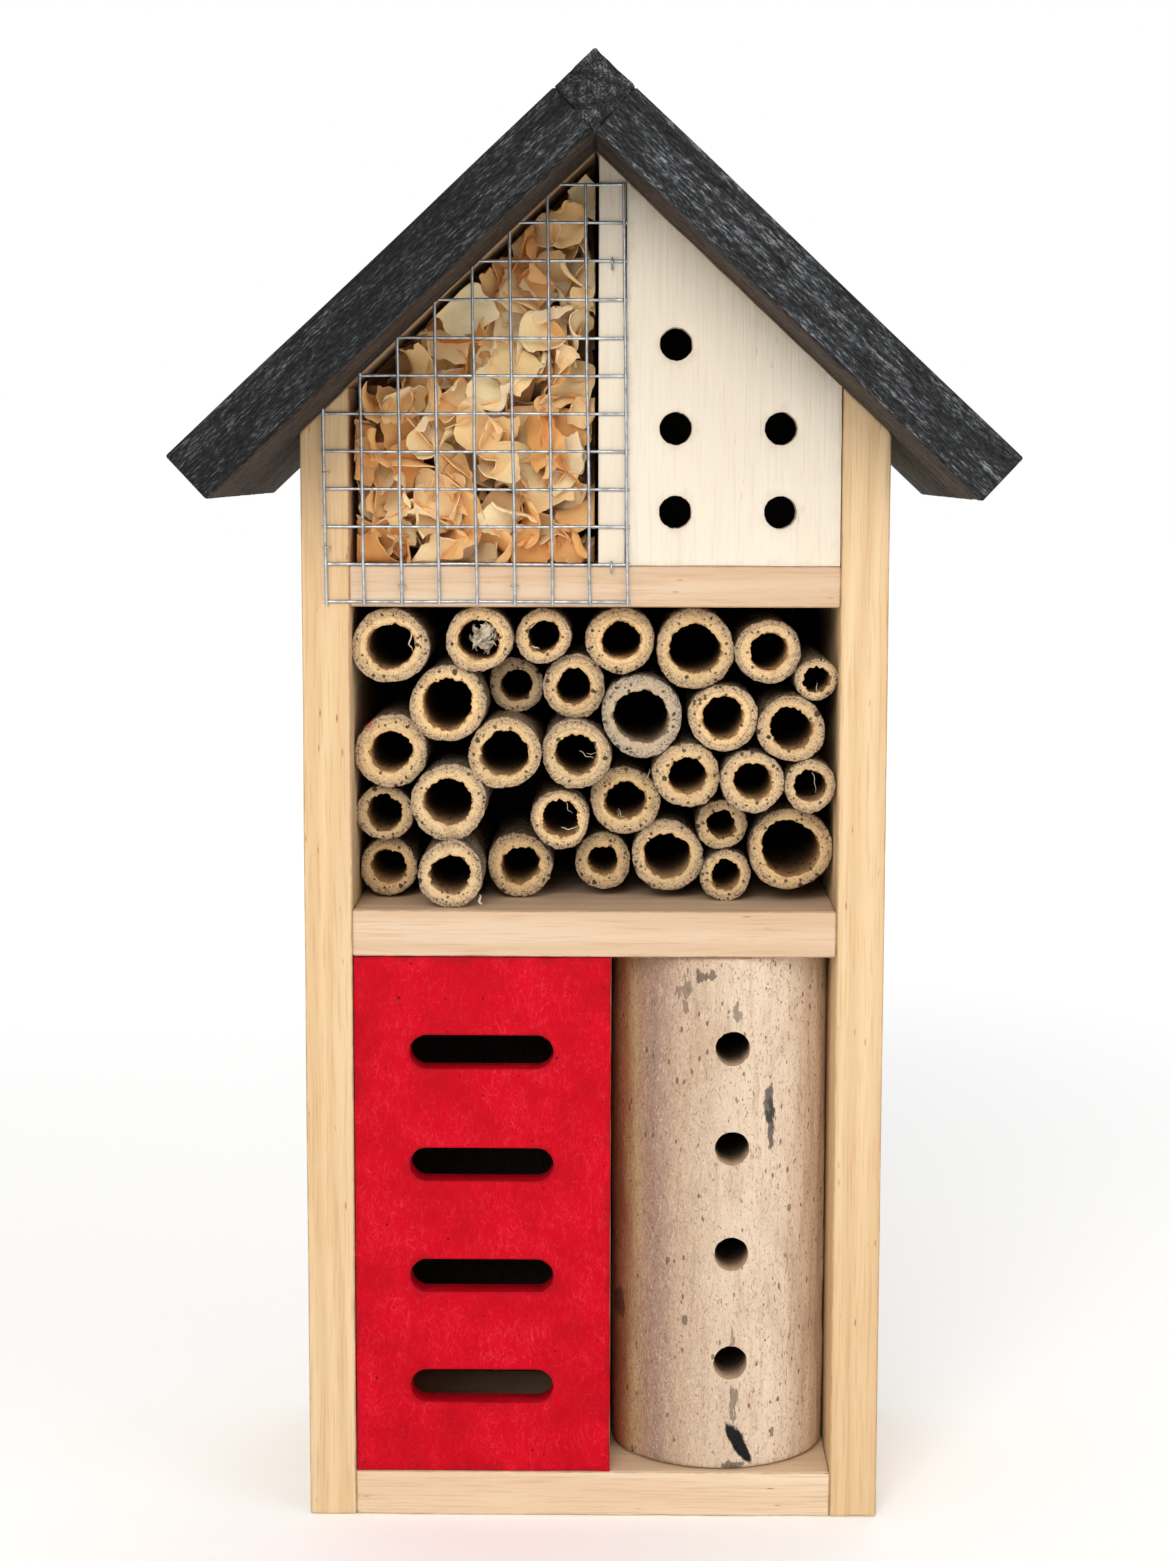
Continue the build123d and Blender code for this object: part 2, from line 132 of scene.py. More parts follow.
def make_studio():
    """White surroundings, three soft boxes and a pale floor."""
    world = bpy.data.worlds.new("studio")
    bpy.context.scene.world = world
    world.use_nodes = True
    tree = world.node_tree
    tree.nodes["Background"].inputs["Color"].default_value = (1, 1, 1, 1)
    seen = add(tree, "ShaderNodeLightPath").outputs["Is Camera Ray"]
    glow = calc(tree, "MAXIMUM", seen, WORLD_GLOW)
    tree.links.new(glow, tree.nodes["Background"].inputs["Strength"])
    middle = (0, 0, 0.12)
    area_light("key_light", (-0.20, -1.0, 0.62), middle, 0.5, 6.2, (1.0, 0.985, 0.96))
    area_light("fill_light", (0.75, -0.6, 0.35), middle, 0.6, 1.4, (0.97, 0.985, 1.0))
    area_light("back_light", (0.2, 0.9, 0.8), middle, 0.7, 1.5, (1, 1, 1))
    mesh = bpy.data.meshes.new("floor")
    corners = [(x * FLOOR_HALF, y * FLOOR_HALF, 0) for x, y in ((-1, -1), (1, -1), (1, 1), (-1, 1))]
    mesh.from_pydata(corners, [], [(0, 1, 2, 3)])
    floor = bpy.data.objects.new("floor", mesh)
    bpy.context.scene.collection.objects.link(floor)
    material, tree, shader, where = new_material("pale_floor", 0.9)
    shader["Base Color"].default_value = (0.97, 0.97, 0.97, 1)
    shader["Emission Color"].default_value = (1, 1, 1, 1)
    away = add(tree, "ShaderNodeVectorMath", {0: where}, operation="LENGTH").outputs["Value"]
    tree.links.new(remap(tree, away, 0.15, 1.2, 0.05, FLOOR_GLOW), shader["Emission Strength"])
    mesh.materials.append(material)
    bpy.context.scene.view_settings.view_transform = "Standard"


# ------------------------------------------------------------------ node tree helpers
# Share of a colour that its material gives back: the lit studio makes up the rest
PAINT_DIMMING = 0.80


def add(tree, kind, inputs=None, **settings):
    """A node with its settings, and its inputs linked to sockets or set to plain values."""
    made = tree.nodes.new(kind)
    for name, value in settings.items():
        setattr(made, name, value)
    for name, value in (inputs or {}).items():
        if isinstance(value, bpy.types.NodeSocket):
            tree.links.new(value, made.inputs[name])
        else:
            made.inputs[name].default_value = value
    return made


def calc(tree, operation, first, second=0.0):
    """The output of a Math node."""
    return add(tree, "ShaderNodeMath", {0: first, 1: second}, operation=operation).outputs[0]


def times(tree, first, second):
    """The product of two values."""
    return calc(tree, "MULTIPLY", first, second)


def plus(tree, first, second):
    """The sum of two values."""
    return calc(tree, "ADD", first, second)


def minus(tree, first, second):
    """The difference of two values."""
    return calc(tree, "SUBTRACT", first, second)


def remap(tree, value, low, high, to_low=0.0, to_high=1.0):
    """Value moved from one range to another, with smooth ends, and held inside it."""
    inputs = {"Value": value, "From Min": low, "From Max": high, "To Min": to_low, "To Max": to_high}
    return add(tree, "ShaderNodeMapRange", inputs, interpolation_type="SMOOTHSTEP").outputs["Result"]


def blend(tree, factor, first, second, how="MIX"):
    """The colour of a Mix node."""
    inputs = {0: factor, 6: first, 7: second}
    return add(tree, "ShaderNodeMix", inputs, data_type="RGBA", blend_type=how).outputs[2]


def ramp(tree, value, stops):
    """A colour from a ramp of (place, colour) stops."""
    made = add(tree, "ShaderNodeValToRGB", {"Fac": value})
    elements = made.color_ramp.elements
    while len(elements) < len(stops):
        elements.new(0.5)
    for element, (place, colour) in zip(elements, stops):
        element.position = place
        element.color = colour
    return made.outputs["Color"]


def noise(tree, vector, size, detail=2.0, rough=0.5, distort=0.0):
    """Smooth noise from 0 to 1 whose bumps are about size metres wide."""
    inputs = {"Vector": vector, "Scale": 1 / size, "Detail": detail}
    inputs.update({"Roughness": rough, "Distortion": distort})
    return add(tree, "ShaderNodeTexNoise", inputs).outputs[0]


def stretch(tree, vector, factors, shift=(0, 0, 0), turn=(0, 0, 0)):
    """Coordinates moved, turned and scaled, so that a pattern lies along a piece's grain."""
    inputs = {"Vector": vector, "Location": shift, "Rotation": turn, "Scale": factors}
    return add(tree, "ShaderNodeMapping", inputs).outputs[0]


def tint(red, green, blue, dimming=PAINT_DIMMING):
    """A colour as it looks in the bright studio, 0 to 255, in the linear light that shaders use."""
    channels = [c / 255 for c in (red, green, blue)]
    linear = [c / 12.92 if c <= 0.04045 else ((c + 0.055) / 1.055) ** 2.4 for c in channels]
    return tuple(dimming * c for c in linear) + (1.0,)


def new_group(name, inputs, outputs):
    """An empty shader group with named sockets: its tree, its input sockets and its output sockets."""
    tree = bpy.data.node_groups.new(name, "ShaderNodeTree")
    for label, kind, value in inputs:
        socket = tree.interface.new_socket(name=label, in_out="INPUT", socket_type=kind)
        if value is not None:
            socket.default_value = value
    for label in outputs:
        tree.interface.new_socket(name=label, in_out="OUTPUT", socket_type="NodeSocketFloat")
    return tree, tree.nodes.new("NodeGroupInput").outputs, tree.nodes.new("NodeGroupOutput").inputs


def use_group(tree, group, inputs):
    """A group placed in a material, with its inputs linked or set."""
    return add(tree, "ShaderNodeGroup", inputs, node_tree=group).outputs


def new_material(name, roughness, metallic=0.0, gloss=0.25):
    """A material with one Principled shader: its tree, its shader's inputs and its Object coordinates."""
    material = bpy.data.materials.new(name)
    material.use_nodes = True
    tree = material.node_tree
    shader = tree.nodes["Principled BSDF"].inputs
    shader["Roughness"].default_value = roughness
    shader["Metallic"].default_value = metallic
    shader["Specular IOR Level"].default_value = gloss
    return material, tree, shader, tree.nodes.new("ShaderNodeTexCoord").outputs["Object"]


def bump(tree, shader, height, depth):
    """Height, from 0 to 1, as bumps of that depth in metres."""
    inputs = {"Height": height, "Distance": depth, "Strength": 1.0}
    tree.links.new(add(tree, "ShaderNodeBump", inputs).outputs[0], shader["Normal"])


def attribute(tree, name):
    """The value that a mesh carries under that name."""
    return add(tree, "ShaderNodeAttribute", attribute_name=name).outputs["Fac"]


# ------------------------------------------------------------------ shared shader groups
def make_wood_figure():
    """Growth rings, fibres and short ray flecks, with the grain along Z."""
    inputs = [
        ("Vector", "NodeSocketVector", None),
        ("Ring Width", "NodeSocketFloat", 3 * MM),
        ("Fibre Width", "NodeSocketFloat", 0.35 * MM),
        ("Fleck Length", "NodeSocketFloat", 2.2 * MM),
    ]
    tree, given, out = new_group("Wood figure", inputs, ("Rings", "Fibres", "Flecks", "Cloud"))
    lengthwise = stretch(tree, given["Vector"], (1, 1, 0.055))
    wander = noise(tree, lengthwise, 14 * MM, 2.0)
    across = add(tree, "ShaderNodeSeparateXYZ", {0: lengthwise}).outputs[0]
    place = plus(tree, across, times(tree, wander, 30 * MM))
    turns = times(tree, calc(tree, "DIVIDE", place, given["Ring Width"]), math.tau)
    wave = times(tree, calc(tree, "SINE", turns), 0.5)
    tree.links.new(plus(tree, wave, 0.5), out["Rings"])
    fine = stretch(tree, given["Vector"], (1, 1, 0.03))
    scale = calc(tree, "DIVIDE", 1.0, given["Fibre Width"])
    fibres = add(tree, "ShaderNodeTexNoise", {"Vector": fine, "Scale": scale, "Detail": 3.0})
    tree.links.new(fibres.outputs[0], out["Fibres"])
    short = stretch(tree, given["Vector"], (1, 1, 0.2))
    fleck_scale = calc(tree, "DIVIDE", 1.6, given["Fleck Length"])
    cells = add(tree, "ShaderNodeTexVoronoi", {"Vector": short, "Scale": fleck_scale})
    spots = remap(tree, cells.outputs["Distance"], 0.15, 0.02)
    patchy = remap(tree, noise(tree, given["Vector"], 11 * MM), 0.45, 0.62)
    tree.links.new(times(tree, spots, patchy), out["Flecks"])
    tree.links.new(noise(tree, stretch(tree, given["Vector"], (1, 1, 0.3)), 22 * MM, 3.0), out["Cloud"])
    return tree


def make_specks():
    """Small dark specks of uneven size, gathered in patches."""
    inputs = [
        ("Vector", "NodeSocketVector", None),
        ("Spacing", "NodeSocketFloat", 2 * MM),
        ("Size", "NodeSocketFloat", 0.2),
    ]
    tree, given, out = new_group("Specks", inputs, ("Mask",))
    scale = calc(tree, "DIVIDE", 1.0, given["Spacing"])
    wobble = add(tree, "ShaderNodeTexNoise", {"Vector": given["Vector"], "Scale": 2500.0, "Detail": 2.0})
    cells = add(tree, "ShaderNodeTexVoronoi", {"Vector": given["Vector"], "Scale": scale})
    uneven = plus(tree, cells.outputs["Distance"], times(tree, wobble.outputs[0], 0.25))
    lone = add(tree, "ShaderNodeSeparateColor", {0: cells.outputs["Color"]}).outputs[0]
    reach = times(tree, calc(tree, "POWER", lone, 2.0), given["Size"])
    inner = minus(tree, uneven, 0.12)
    tree.links.new(remap(tree, minus(tree, reach, inner), 0.0, 0.05), out["Mask"])
    return tree


def make_stain_spot():
    """One uneven spot: 1 inside, 0 outside, with a ragged border."""
    inputs = [
        ("Vector", "NodeSocketVector", None),
        ("Centre", "NodeSocketVector", None),
        ("Half Size", "NodeSocketVector", None),
        ("Raggedness", "NodeSocketFloat", 0.8),
    ]
    tree, given, out = new_group("Stain spot", inputs, ("Mask",))
    kind = "ShaderNodeVectorMath"
    away = add(tree, kind, {0: given["Vector"], 1: given["Centre"]}, operation="SUBTRACT")
    scaled = add(tree, kind, {0: away.outputs[0], 1: given["Half Size"]}, operation="DIVIDE")
    length = add(tree, kind, {0: scaled.outputs[0]}, operation="LENGTH").outputs["Value"]
    rough = noise(tree, stretch(tree, given["Vector"], (1, 1, 0.35)), 1.3 * MM, 3.0, 0.65)
    ragged = times(tree, minus(tree, rough, 0.5), given["Raggedness"])
    edge = plus(tree, length, times(tree, ragged, 3.0))
    tree.links.new(remap(tree, edge, 1.1, 0.8), out["Mask"])
    return tree


def make_edge_dirt():
    """Grime and bruises along a piece's worn edges, from the closeness that its mesh carries."""
    inputs = [("Vector", "NodeSocketVector", None), ("Closeness", "NodeSocketFloat", 0.0)]
    tree, given, out = new_group("Edge wear", inputs, ("Mask",))
    patches = noise(tree, given["Vector"], 4 * MM, 4.0, 0.65)
    worn = plus(tree, given["Closeness"], times(tree, minus(tree, patches, 0.5), 1.6))
    tree.links.new(remap(tree, worn, 0.62, 1.15), out["Mask"])
    return tree


WOOD_FIGURE = make_wood_figure()
SPECKS = make_specks()
STAIN_SPOT = make_stain_spot()
EDGE_WEAR = make_edge_dirt()
GRAIN_UP = (0, 0, 0)
GRAIN_ACROSS = (0, math.pi / 2, 0)


# ------------------------------------------------------------------ materials
def timber(name, grain, shift, pale, deep, rings, flecks, fibres=0.35, wear=0.45, inner=None):
    """Planed pale wood: soft rings, fine fibres, brown flecks and bruised edges. Shift slides the
    grain by that many metres, so that no two timbers are alike."""
    material, tree, shader, where = new_material(name, 0.68)
    along = stretch(tree, where, (1, 1, 1), shift, grain)
    figure = use_group(tree, WOOD_FIGURE, {"Vector": along, "Ring Width": 5.5 * MM})
    cloud = remap(tree, figure["Cloud"], 0.3, 0.7)
    colour = blend(tree, times(tree, cloud, 0.35), pale, deep)
    streaks = times(tree, figure["Rings"], rings)
    colour = blend(tree, streaks, colour, deep)
    lines = times(tree, remap(tree, figure["Fibres"], 0.48, 0.72), fibres)
    colour = blend(tree, lines, colour, tint(196, 150, 98))
    colour = blend(tree, times(tree, figure["Flecks"], flecks), colour, tint(168, 112, 62))
    edge = use_group(tree, EDGE_WEAR, {"Vector": where, "Closeness": attribute(tree, "edge")})["Mask"]
    colour = blend(tree, times(tree, edge, wear), colour, tint(150, 112, 74))
    # inner is painted shade: a near-black colour laid over the faces that carry the front mark, which look
    # into the shaded rooms
    if inner is not None:
        colour = blend(tree, attribute(tree, "front"), colour, inner)
    tree.links.new(colour, shader["Base Color"])
    tree.links.new(remap(tree, figure["Fibres"], 0.2, 0.8, 0.58, 0.8), shader["Roughness"])
    height = minus(tree, figure["Fibres"], times(tree, figure["Flecks"], 0.5))
    bump(tree, shader, height, 0.12 * MM)
    return material


def stained_roof(name, grain_turn, lift):
    """Rough-sawn wood stained black, greyed where fibres stand up, bare where the rooms begin."""
    material, tree, shader, where = new_material(name, 0.72, gloss=0.22)
    along = stretch(tree, where, (1, 1, 1), (0, 0, 0), grain_turn)
    fine = noise(tree, stretch(tree, along, (1, 1, 0.2)), 0.26 * MM, 4.0, 0.7)
    hairs = noise(tree, stretch(tree, along, (1, 1, 0.06)), 0.4 * MM, 2.0, 0.6)
    broad = noise(tree, stretch(tree, along, (1, 1, 0.3)), 1.9 * MM, 3.0, 0.6)
    raised = attribute(tree, "raised")
    lit = plus(tree, times(tree, fine, 0.72), times(tree, hairs, 0.28))
    lit = plus(tree, lit, times(tree, raised, 0.09))
    lit = plus(tree, lit, times(tree, minus(tree, broad, 0.5), 0.25))
    colour = ramp(
        tree,
        lit,
        [
            (0.36, tint(10, 10, 11)),
            (0.49, tint(32, 33, 34)),
            (0.56, tint(54, 55, 57)),
            (0.64, tint(104, 106, 109)),
            (0.74, tint(152, 154, 157)),
        ],
    )
    colour = blend(tree, 1.0, colour, (lift, lift, lift, 1.0), "MULTIPLY")
    earthy = blend(tree, remap(tree, lit, 0.38, 0.64), tint(24, 20, 18), tint(92, 78, 67))
    colour = blend(tree, attribute(tree, "brown"), colour, earthy)
    figure = use_group(tree, WOOD_FIGURE, {"Vector": along})
    bare = blend(tree, figure["Rings"], tint(238, 206, 164), tint(214, 172, 126))
    colour = blend(tree, attribute(tree, "bare"), colour, bare)
    tree.links.new(colour, shader["Base Color"])
    tree.links.new(remap(tree, fine, 0.3, 0.75, 0.86, 0.6), shader["Roughness"])
    bump(tree, shader, plus(tree, fine, hairs), 0.25 * MM)
    return material


def red_paint():
    """Matt red paint soaked into hard fibreboard: curled fibres, pin specks and scuffed edges."""
    material, tree, shader, where = new_material("red_painted_fibreboard", 0.62, gloss=0.06)
    cloud = noise(tree, where, 9 * MM, 4.0, 0.6)
    colour = ramp(
        tree,
        cloud,
        [(0.30, tint(192, 4, 25)), (0.50, tint(207, 5, 29)), (0.72, tint(220, 11, 36))],
    )
    for turn, size in ((0.4, 3.0 * MM), (1.9, 2.2 * MM), (2.7, 4.1 * MM)):
        turned = stretch(tree, where, (1, 1, 0.45), (turn, 0, 0), (0, turn, 0))
        lines = noise(tree, turned, size, 3.0, 0.62, 1.2)
        thin = calc(tree, "ABSOLUTE", minus(tree, lines, 0.5))
        hair = times(tree, remap(tree, thin, 0.010, 0.0), remap(tree, cloud, 0.35, 0.65, 0.15, 0.55))
        colour = blend(tree, hair, colour, tint(236, 58, 74))
    specks = use_group(tree, SPECKS, {"Vector": where, "Spacing": 2.1 * MM, "Size": 0.16})["Mask"]
    colour = blend(tree, times(tree, specks, 0.8), colour, tint(96, 8, 20))
    edge = use_group(tree, EDGE_WEAR, {"Vector": where, "Closeness": attribute(tree, "edge")})["Mask"]
    colour = blend(tree, times(tree, edge, 0.4), colour, tint(140, 14, 26))
    tree.links.new(colour, shader["Base Color"])
    tree.links.new(remap(tree, cloud, 0.3, 0.7, 0.56, 0.7), shader["Roughness"])
    bump(tree, shader, noise(tree, where, 0.55 * MM, 4.0, 0.6), 0.1 * MM)
    return material


def galvanised(name, base, rough_low, rough_high):
    """Dull zinc or steel with cloudy tarnish."""
    material, tree, shader, where = new_material(name, 0.4, 1.0)
    cloud = noise(tree, where, 1.6 * MM, 4.0, 0.65)
    dark = tuple(0.55 * c for c in base[:3]) + (1.0,)
    tree.links.new(blend(tree, remap(tree, cloud, 0.35, 0.75), base, dark), shader["Base Color"])
    tree.links.new(remap(tree, cloud, 0.3, 0.7, rough_low, rough_high), shader["Roughness"])
    bump(tree, shader, noise(tree, where, 0.3 * MM, 2.0), 0.03 * MM)
    return material


def bamboo():
    """Sawn cane: a pale fibrous end ringed and dotted towards its greyed skin, and a tan bore that is
    painted darker with depth as painted shade.
    """
    material, tree, shader, where = new_material("bamboo", 0.74)
    across = attribute(tree, "across")
    tone = attribute(tree, "tone")
    wobble = minus(tree, noise(tree, where, 1.0 * MM, 3.0, 0.6), 0.5)
    place = plus(tree, times(tree, across, 0.5), times(tree, wobble, 0.14))
    colour = ramp(
        tree,
        place,
        [
            (0.0, tint(222, 172, 112, 0.95)),
            (0.06, tint(234, 190, 130, 0.95)),
            (0.12, tint(240, 204, 148, 0.95)),
            (0.26, tint(232, 194, 140, 0.95)),
            (0.37, tint(214, 180, 134, 0.95)),
            (0.48, tint(176, 148, 116, 0.95)),
            (0.55, tint(122, 104, 84)),
            (0.80, tint(132, 114, 88)),
        ],
    )
    ring_place = add(tree, "ShaderNodeCombineXYZ", {0: across, 1: tone, 2: times(tree, wobble, 0.12)})
    rings = noise(tree, ring_place.outputs[0], 0.09, 2.0, 0.6)
    colour = blend(tree, remap(tree, rings, 0.50, 0.70, 0.0, 0.65), colour, tint(150, 120, 86))
    colour = blend(tree, remap(tree, rings, 0.48, 0.30, 0.0, 0.35), colour, tint(240, 214, 174))
    colour = blend(tree, remap(tree, tone, 0.2, 1.0, 0.0, 0.3), colour, tint(206, 168, 116))
    colour = blend(tree, times(tree, attribute(tree, "grey"), 0.62), colour, tint(176, 167, 152))
    cloud = noise(tree, where, 2.2 * MM, 4.0, 0.65)
    colour = blend(tree, remap(tree, cloud, 0.50, 0.74, 0.0, 0.5), colour, tint(160, 122, 84))
    mottle = noise(tree, stretch(tree, where, (1, 0.3, 1)), 0.42 * MM, 3.0, 0.7, 0.8)
    rim = remap(tree, across, 0.3, 1.0, 0.25, 0.9)
    greyed = times(tree, remap(tree, mottle, 0.50, 0.66), rim)
    colour = blend(tree, greyed, colour, tint(122, 104, 92))
    colour = blend(tree, remap(tree, mottle, 0.46, 0.32, 0.0, 0.4), colour, tint(246, 222, 182))
    inputs = {"Vector": stretch(tree, where, (1, 0.15, 1)), "Scale": 1 / (0.5 * MM)}
    dots = add(tree, "ShaderNodeTexVoronoi", inputs)
    bundle = remap(tree, dots.outputs["Distance"], 0.38, 0.16)
    crowd = times(tree, bundle, remap(tree, across, 0.25, 1.05, 0.18, 0.85))
    dotted = times(tree, crowd, remap(tree, cloud, 0.3, 0.6, 0.3, 1.0))
    colour = blend(tree, dotted, colour, tint(84, 68, 50))
    for spacing, size, weight in ((0.9, 0.42, 0.8), (2.0, 0.30, 0.9)):
        inputs = {"Vector": stretch(tree, where, (1, 0.4, 1)), "Spacing": spacing * MM, "Size": size}
        mask = use_group(tree, SPECKS, inputs)["Mask"]
        colour = blend(tree, times(tree, mask, weight), colour, tint(52, 42, 32))
    colour = blend(tree, attribute(tree, "red"), colour, tint(176, 44, 42))
    # deep is painted shade: the bore's wall turns dark brown the further it lies from the cut end
    colour = blend(tree, attribute(tree, "deep"), colour, tint(66, 40, 20))
    tree.links.new(colour, shader["Base Color"])
    tree.links.new(remap(tree, cloud, 0.3, 0.7, 0.66, 0.85), shader["Roughness"])
    grit = noise(tree, where, 0.25 * MM, 3.0, 0.65)
    height = minus(tree, plus(tree, grit, times(tree, rings, 0.5)), crowd)
    bump(tree, shader, height, 0.16 * MM)
    return material


KNOT_TILT = math.radians(27)
# Scars and stains on the log: place from the foot of its front and half size, both in mm,
# raggedness, colour, strength, and whether it leans like the knot.
LOG_SCARS = (
    ((8.2, 1.8, 64.5), (0.75, 6, 3.2), 1.5, (58, 56, 60), 0.8, False),
    ((8.5, 1.8, 61.0), (0.65, 6, 3.4), 1.5, (58, 56, 60), 0.8, False),
    ((3.2, 0.0, 5.0), (1.25, 6, 4.2), 0.35, (16, 16, 18), 1.0, True),
    ((2.0, 0.0, 1.0), (2.2, 6, 0.9), 1.3, (60, 56, 56), 0.7, False),
    ((2.4, 0.0, 12.0), (0.9, 6, 3.0), 1.6, (70, 62, 58), 0.6, False),
    ((2.4, 0.0, 23.6), (0.7, 6, 1.6), 1.6, (70, 62, 58), 0.55, False),
    ((-2.6, 0.0, 88.0), (2.0, 6, 0.8), 2.6, (62, 52, 46), 0.7, False),
    ((-6.6, 0.0, 85.6), (1.1, 6, 2.4), 2.8, (84, 68, 56), 0.55, False),
    ((2.3, 0.0, 81.0), (0.9, 6, 1.5), 1.9, (72, 60, 52), 0.6, False),
    ((-17.6, 12.2, 26.5), (1.4, 6, 2.6), 0.8, (84, 56, 46), 0.7, False),
)


def peeled_log():
    """Peeled roundwood: pale tan streaked along its length, rusty on the left, with dark scars. Its
    right side is painted lighter as painted light, and its holes darker with depth as painted shade.
    """
    low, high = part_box("log_block")
    centre = (low + high) / 2
    material, tree, shader, where = new_material("peeled_log", 0.74)
    local = stretch(tree, where, (1, 1, 1), (-centre.x, -centre.y, 0))
    axes = add(tree, "ShaderNodeSeparateXYZ", {0: local}).outputs
    turn = calc(tree, "ARCTAN2", axes[0], times(tree, axes[1], -1.0))
    streak = noise(tree, stretch(tree, local, (1, 1, 0.07)), 1.5 * MM, 4.0, 0.6)
    hairs = noise(tree, stretch(tree, local, (1, 1, 0.35)), 0.5 * MM, 4.0, 0.72, 1.8)
    strokes = noise(tree, stretch(tree, local, (1, 1, 0.38)), 0.9 * MM, 4.0, 0.75, 2.6)
    cloud = noise(tree, stretch(tree, local, (1, 1, 0.4)), 8 * MM, 4.0, 0.6)
    slow = noise(tree, stretch(tree, local, (1, 1, 0.12)), 7 * MM, 2.0)
    shaken = plus(tree, turn, times(tree, minus(tree, slow, 0.5), 0.22))
    place = add(tree, "ShaderNodeMapRange", {"Value": shaken, "From Min": -1.6, "From Max": 1.6}).outputs[0]
    # place runs round the log from its left side (0) over the front (0.5) to its right side (1). The
    # brighter tints and weaker dimming towards the right are painted light.
    colour = ramp(
        tree,
        place,
        [
            (0.04, tint(206, 112, 78)),
            (0.15, tint(232, 144, 106)),
            (0.185, tint(220, 172, 126)),
            (0.225, tint(230, 200, 148)),
            (0.255, tint(210, 176, 146)),
            (0.30, tint(190, 160, 142)),
            (0.37, tint(224, 193, 163)),
            (0.50, tint(240, 214, 186, 0.83)),
            (0.78, tint(252, 229, 204, 0.93)),
            (0.97, tint(250, 226, 200, 1.0)),
        ],
    )
    colour = blend(tree, remap(tree, streak, 0.48, 0.75, 0.0, 0.45), colour, tint(196, 154, 122))
    colour = blend(tree, remap(tree, cloud, 0.50, 0.72, 0.0, 0.4), colour, tint(200, 162, 130))
    colour = blend(tree, remap(tree, strokes, 0.54, 0.64, 0.0, 0.75), colour, tint(152, 108, 76))
    colour = blend(tree, remap(tree, hairs, 0.52, 0.66, 0.0, 0.6), colour, tint(255, 238, 214))
    pores = times(tree, remap(tree, hairs, 0.42, 0.32), 0.55)
    colour = blend(tree, pores, colour, tint(132, 96, 72))
    left_share = remap(tree, place, 0.62, 0.25)
    # Darker grey-brown streaks over the log's left side, fading out past the front
    left_dark_streaks = times(tree, remap(tree, strokes, 0.50, 0.36), times(tree, left_share, 0.55))
    colour = blend(tree, left_dark_streaks, colour, tint(112, 88, 78))
    rust = times(tree, remap(tree, place, 0.26, 0.12), remap(tree, cloud, 0.4, 0.7, 0.1, 0.75))
    colour = blend(tree, rust, colour, tint(184, 88, 56))
    upright = stretch(tree, local, (1, 1, 0.5))
    for spacing, size, weight in ((1.3, 0.26, 0.7), (3.1, 0.2, 0.7)):
        specks = use_group(tree, SPECKS, {"Vector": upright, "Spacing": spacing * MM, "Size": size})["Mask"]
        colour = blend(tree, times(tree, specks, weight), colour, tint(96, 68, 50))
    slanted = stretch(tree, where, (1, 1, 1), (0, 0, 0), (0, KNOT_TILT, 0))
    turned = Matrix.Rotation(KNOT_TILT, 3, "Y")
    foot = Vector((centre.x, low.y, low.z))
    for place, half_size, ragged, shade, weight, tilted in LOG_SCARS:
        middle = foot + Vector(place) * MM
        inputs = {
            "Vector": slanted if tilted else where,
            "Centre": tuple(turned @ middle if tilted else middle),
            "Half Size": tuple(h * MM for h in half_size),
            "Raggedness": ragged,
        }
        mask = use_group(tree, STAIN_SPOT, inputs)["Mask"]
        colour = blend(tree, times(tree, mask, weight), colour, tint(*shade))
    colour = blend(tree, attribute(tree, "hollow"), colour, tint(238, 204, 168, 0.95))
    # deep is painted shade: the holes' walls darken with depth
    colour = blend(tree, attribute(tree, "deep"), colour, tint(40, 26, 16))
    tree.links.new(colour, shader["Base Color"])
    tree.links.new(remap(tree, streak, 0.3, 0.7, 0.62, 0.85), shader["Roughness"])
    height = plus(tree, hairs, minus(tree, streak, strokes))
    bump(tree, shader, height, 0.2 * MM)
    return material


def shaving_wood():
    """Thin curled shavings, each with its own tone from cream to toasted orange, and fine grain lines."""
    material, tree, shader, where = new_material("wood_shavings", 0.6)
    tone = attribute(tree, "tone")
    colour = ramp(
        tree,
        tone,
        [
            (0.0, tint(255, 228, 184, 0.97)),
            (0.3, tint(254, 213, 160, 0.97)),
            (0.6, tint(252, 199, 138, 0.95)),
            (0.85, tint(248, 182, 116, 0.93)),
            (1.0, tint(232, 156, 88, 0.9)),
        ],
    )
    sheet = add(tree, "ShaderNodeUVMap", uv_map="UVMap").outputs[0]
    lined = noise(tree, stretch(tree, sheet, (1.6, 26, 1)), 1.0, 3.0, 0.6)
    colour = blend(tree, remap(tree, lined, 0.5, 0.78, 0.0, 0.3), colour, tint(214, 154, 96))
    cloud = noise(tree, where, 5 * MM, 3.0)
    colour = blend(tree, remap(tree, cloud, 0.52, 0.75, 0.0, 0.3), colour, tint(236, 176, 112))
    # deep is painted shade: shavings further behind the mesh, and the bed behind them, turn toasted brown
    colour = blend(tree, attribute(tree, "deep"), colour, tint(112, 62, 28))
    tree.links.new(colour, shader["Base Color"])
    shader["Subsurface Weight"].default_value = 0.4
    shader["Subsurface Scale"].default_value = 1.2 * MM
    shader["Subsurface Radius"].default_value = (1.0, 0.5, 0.18)
    tree.links.new(remap(tree, lined, 0.3, 0.7, 0.5, 0.7), shader["Roughness"])
    bump(tree, shader, lined, 0.08 * MM)
    return material


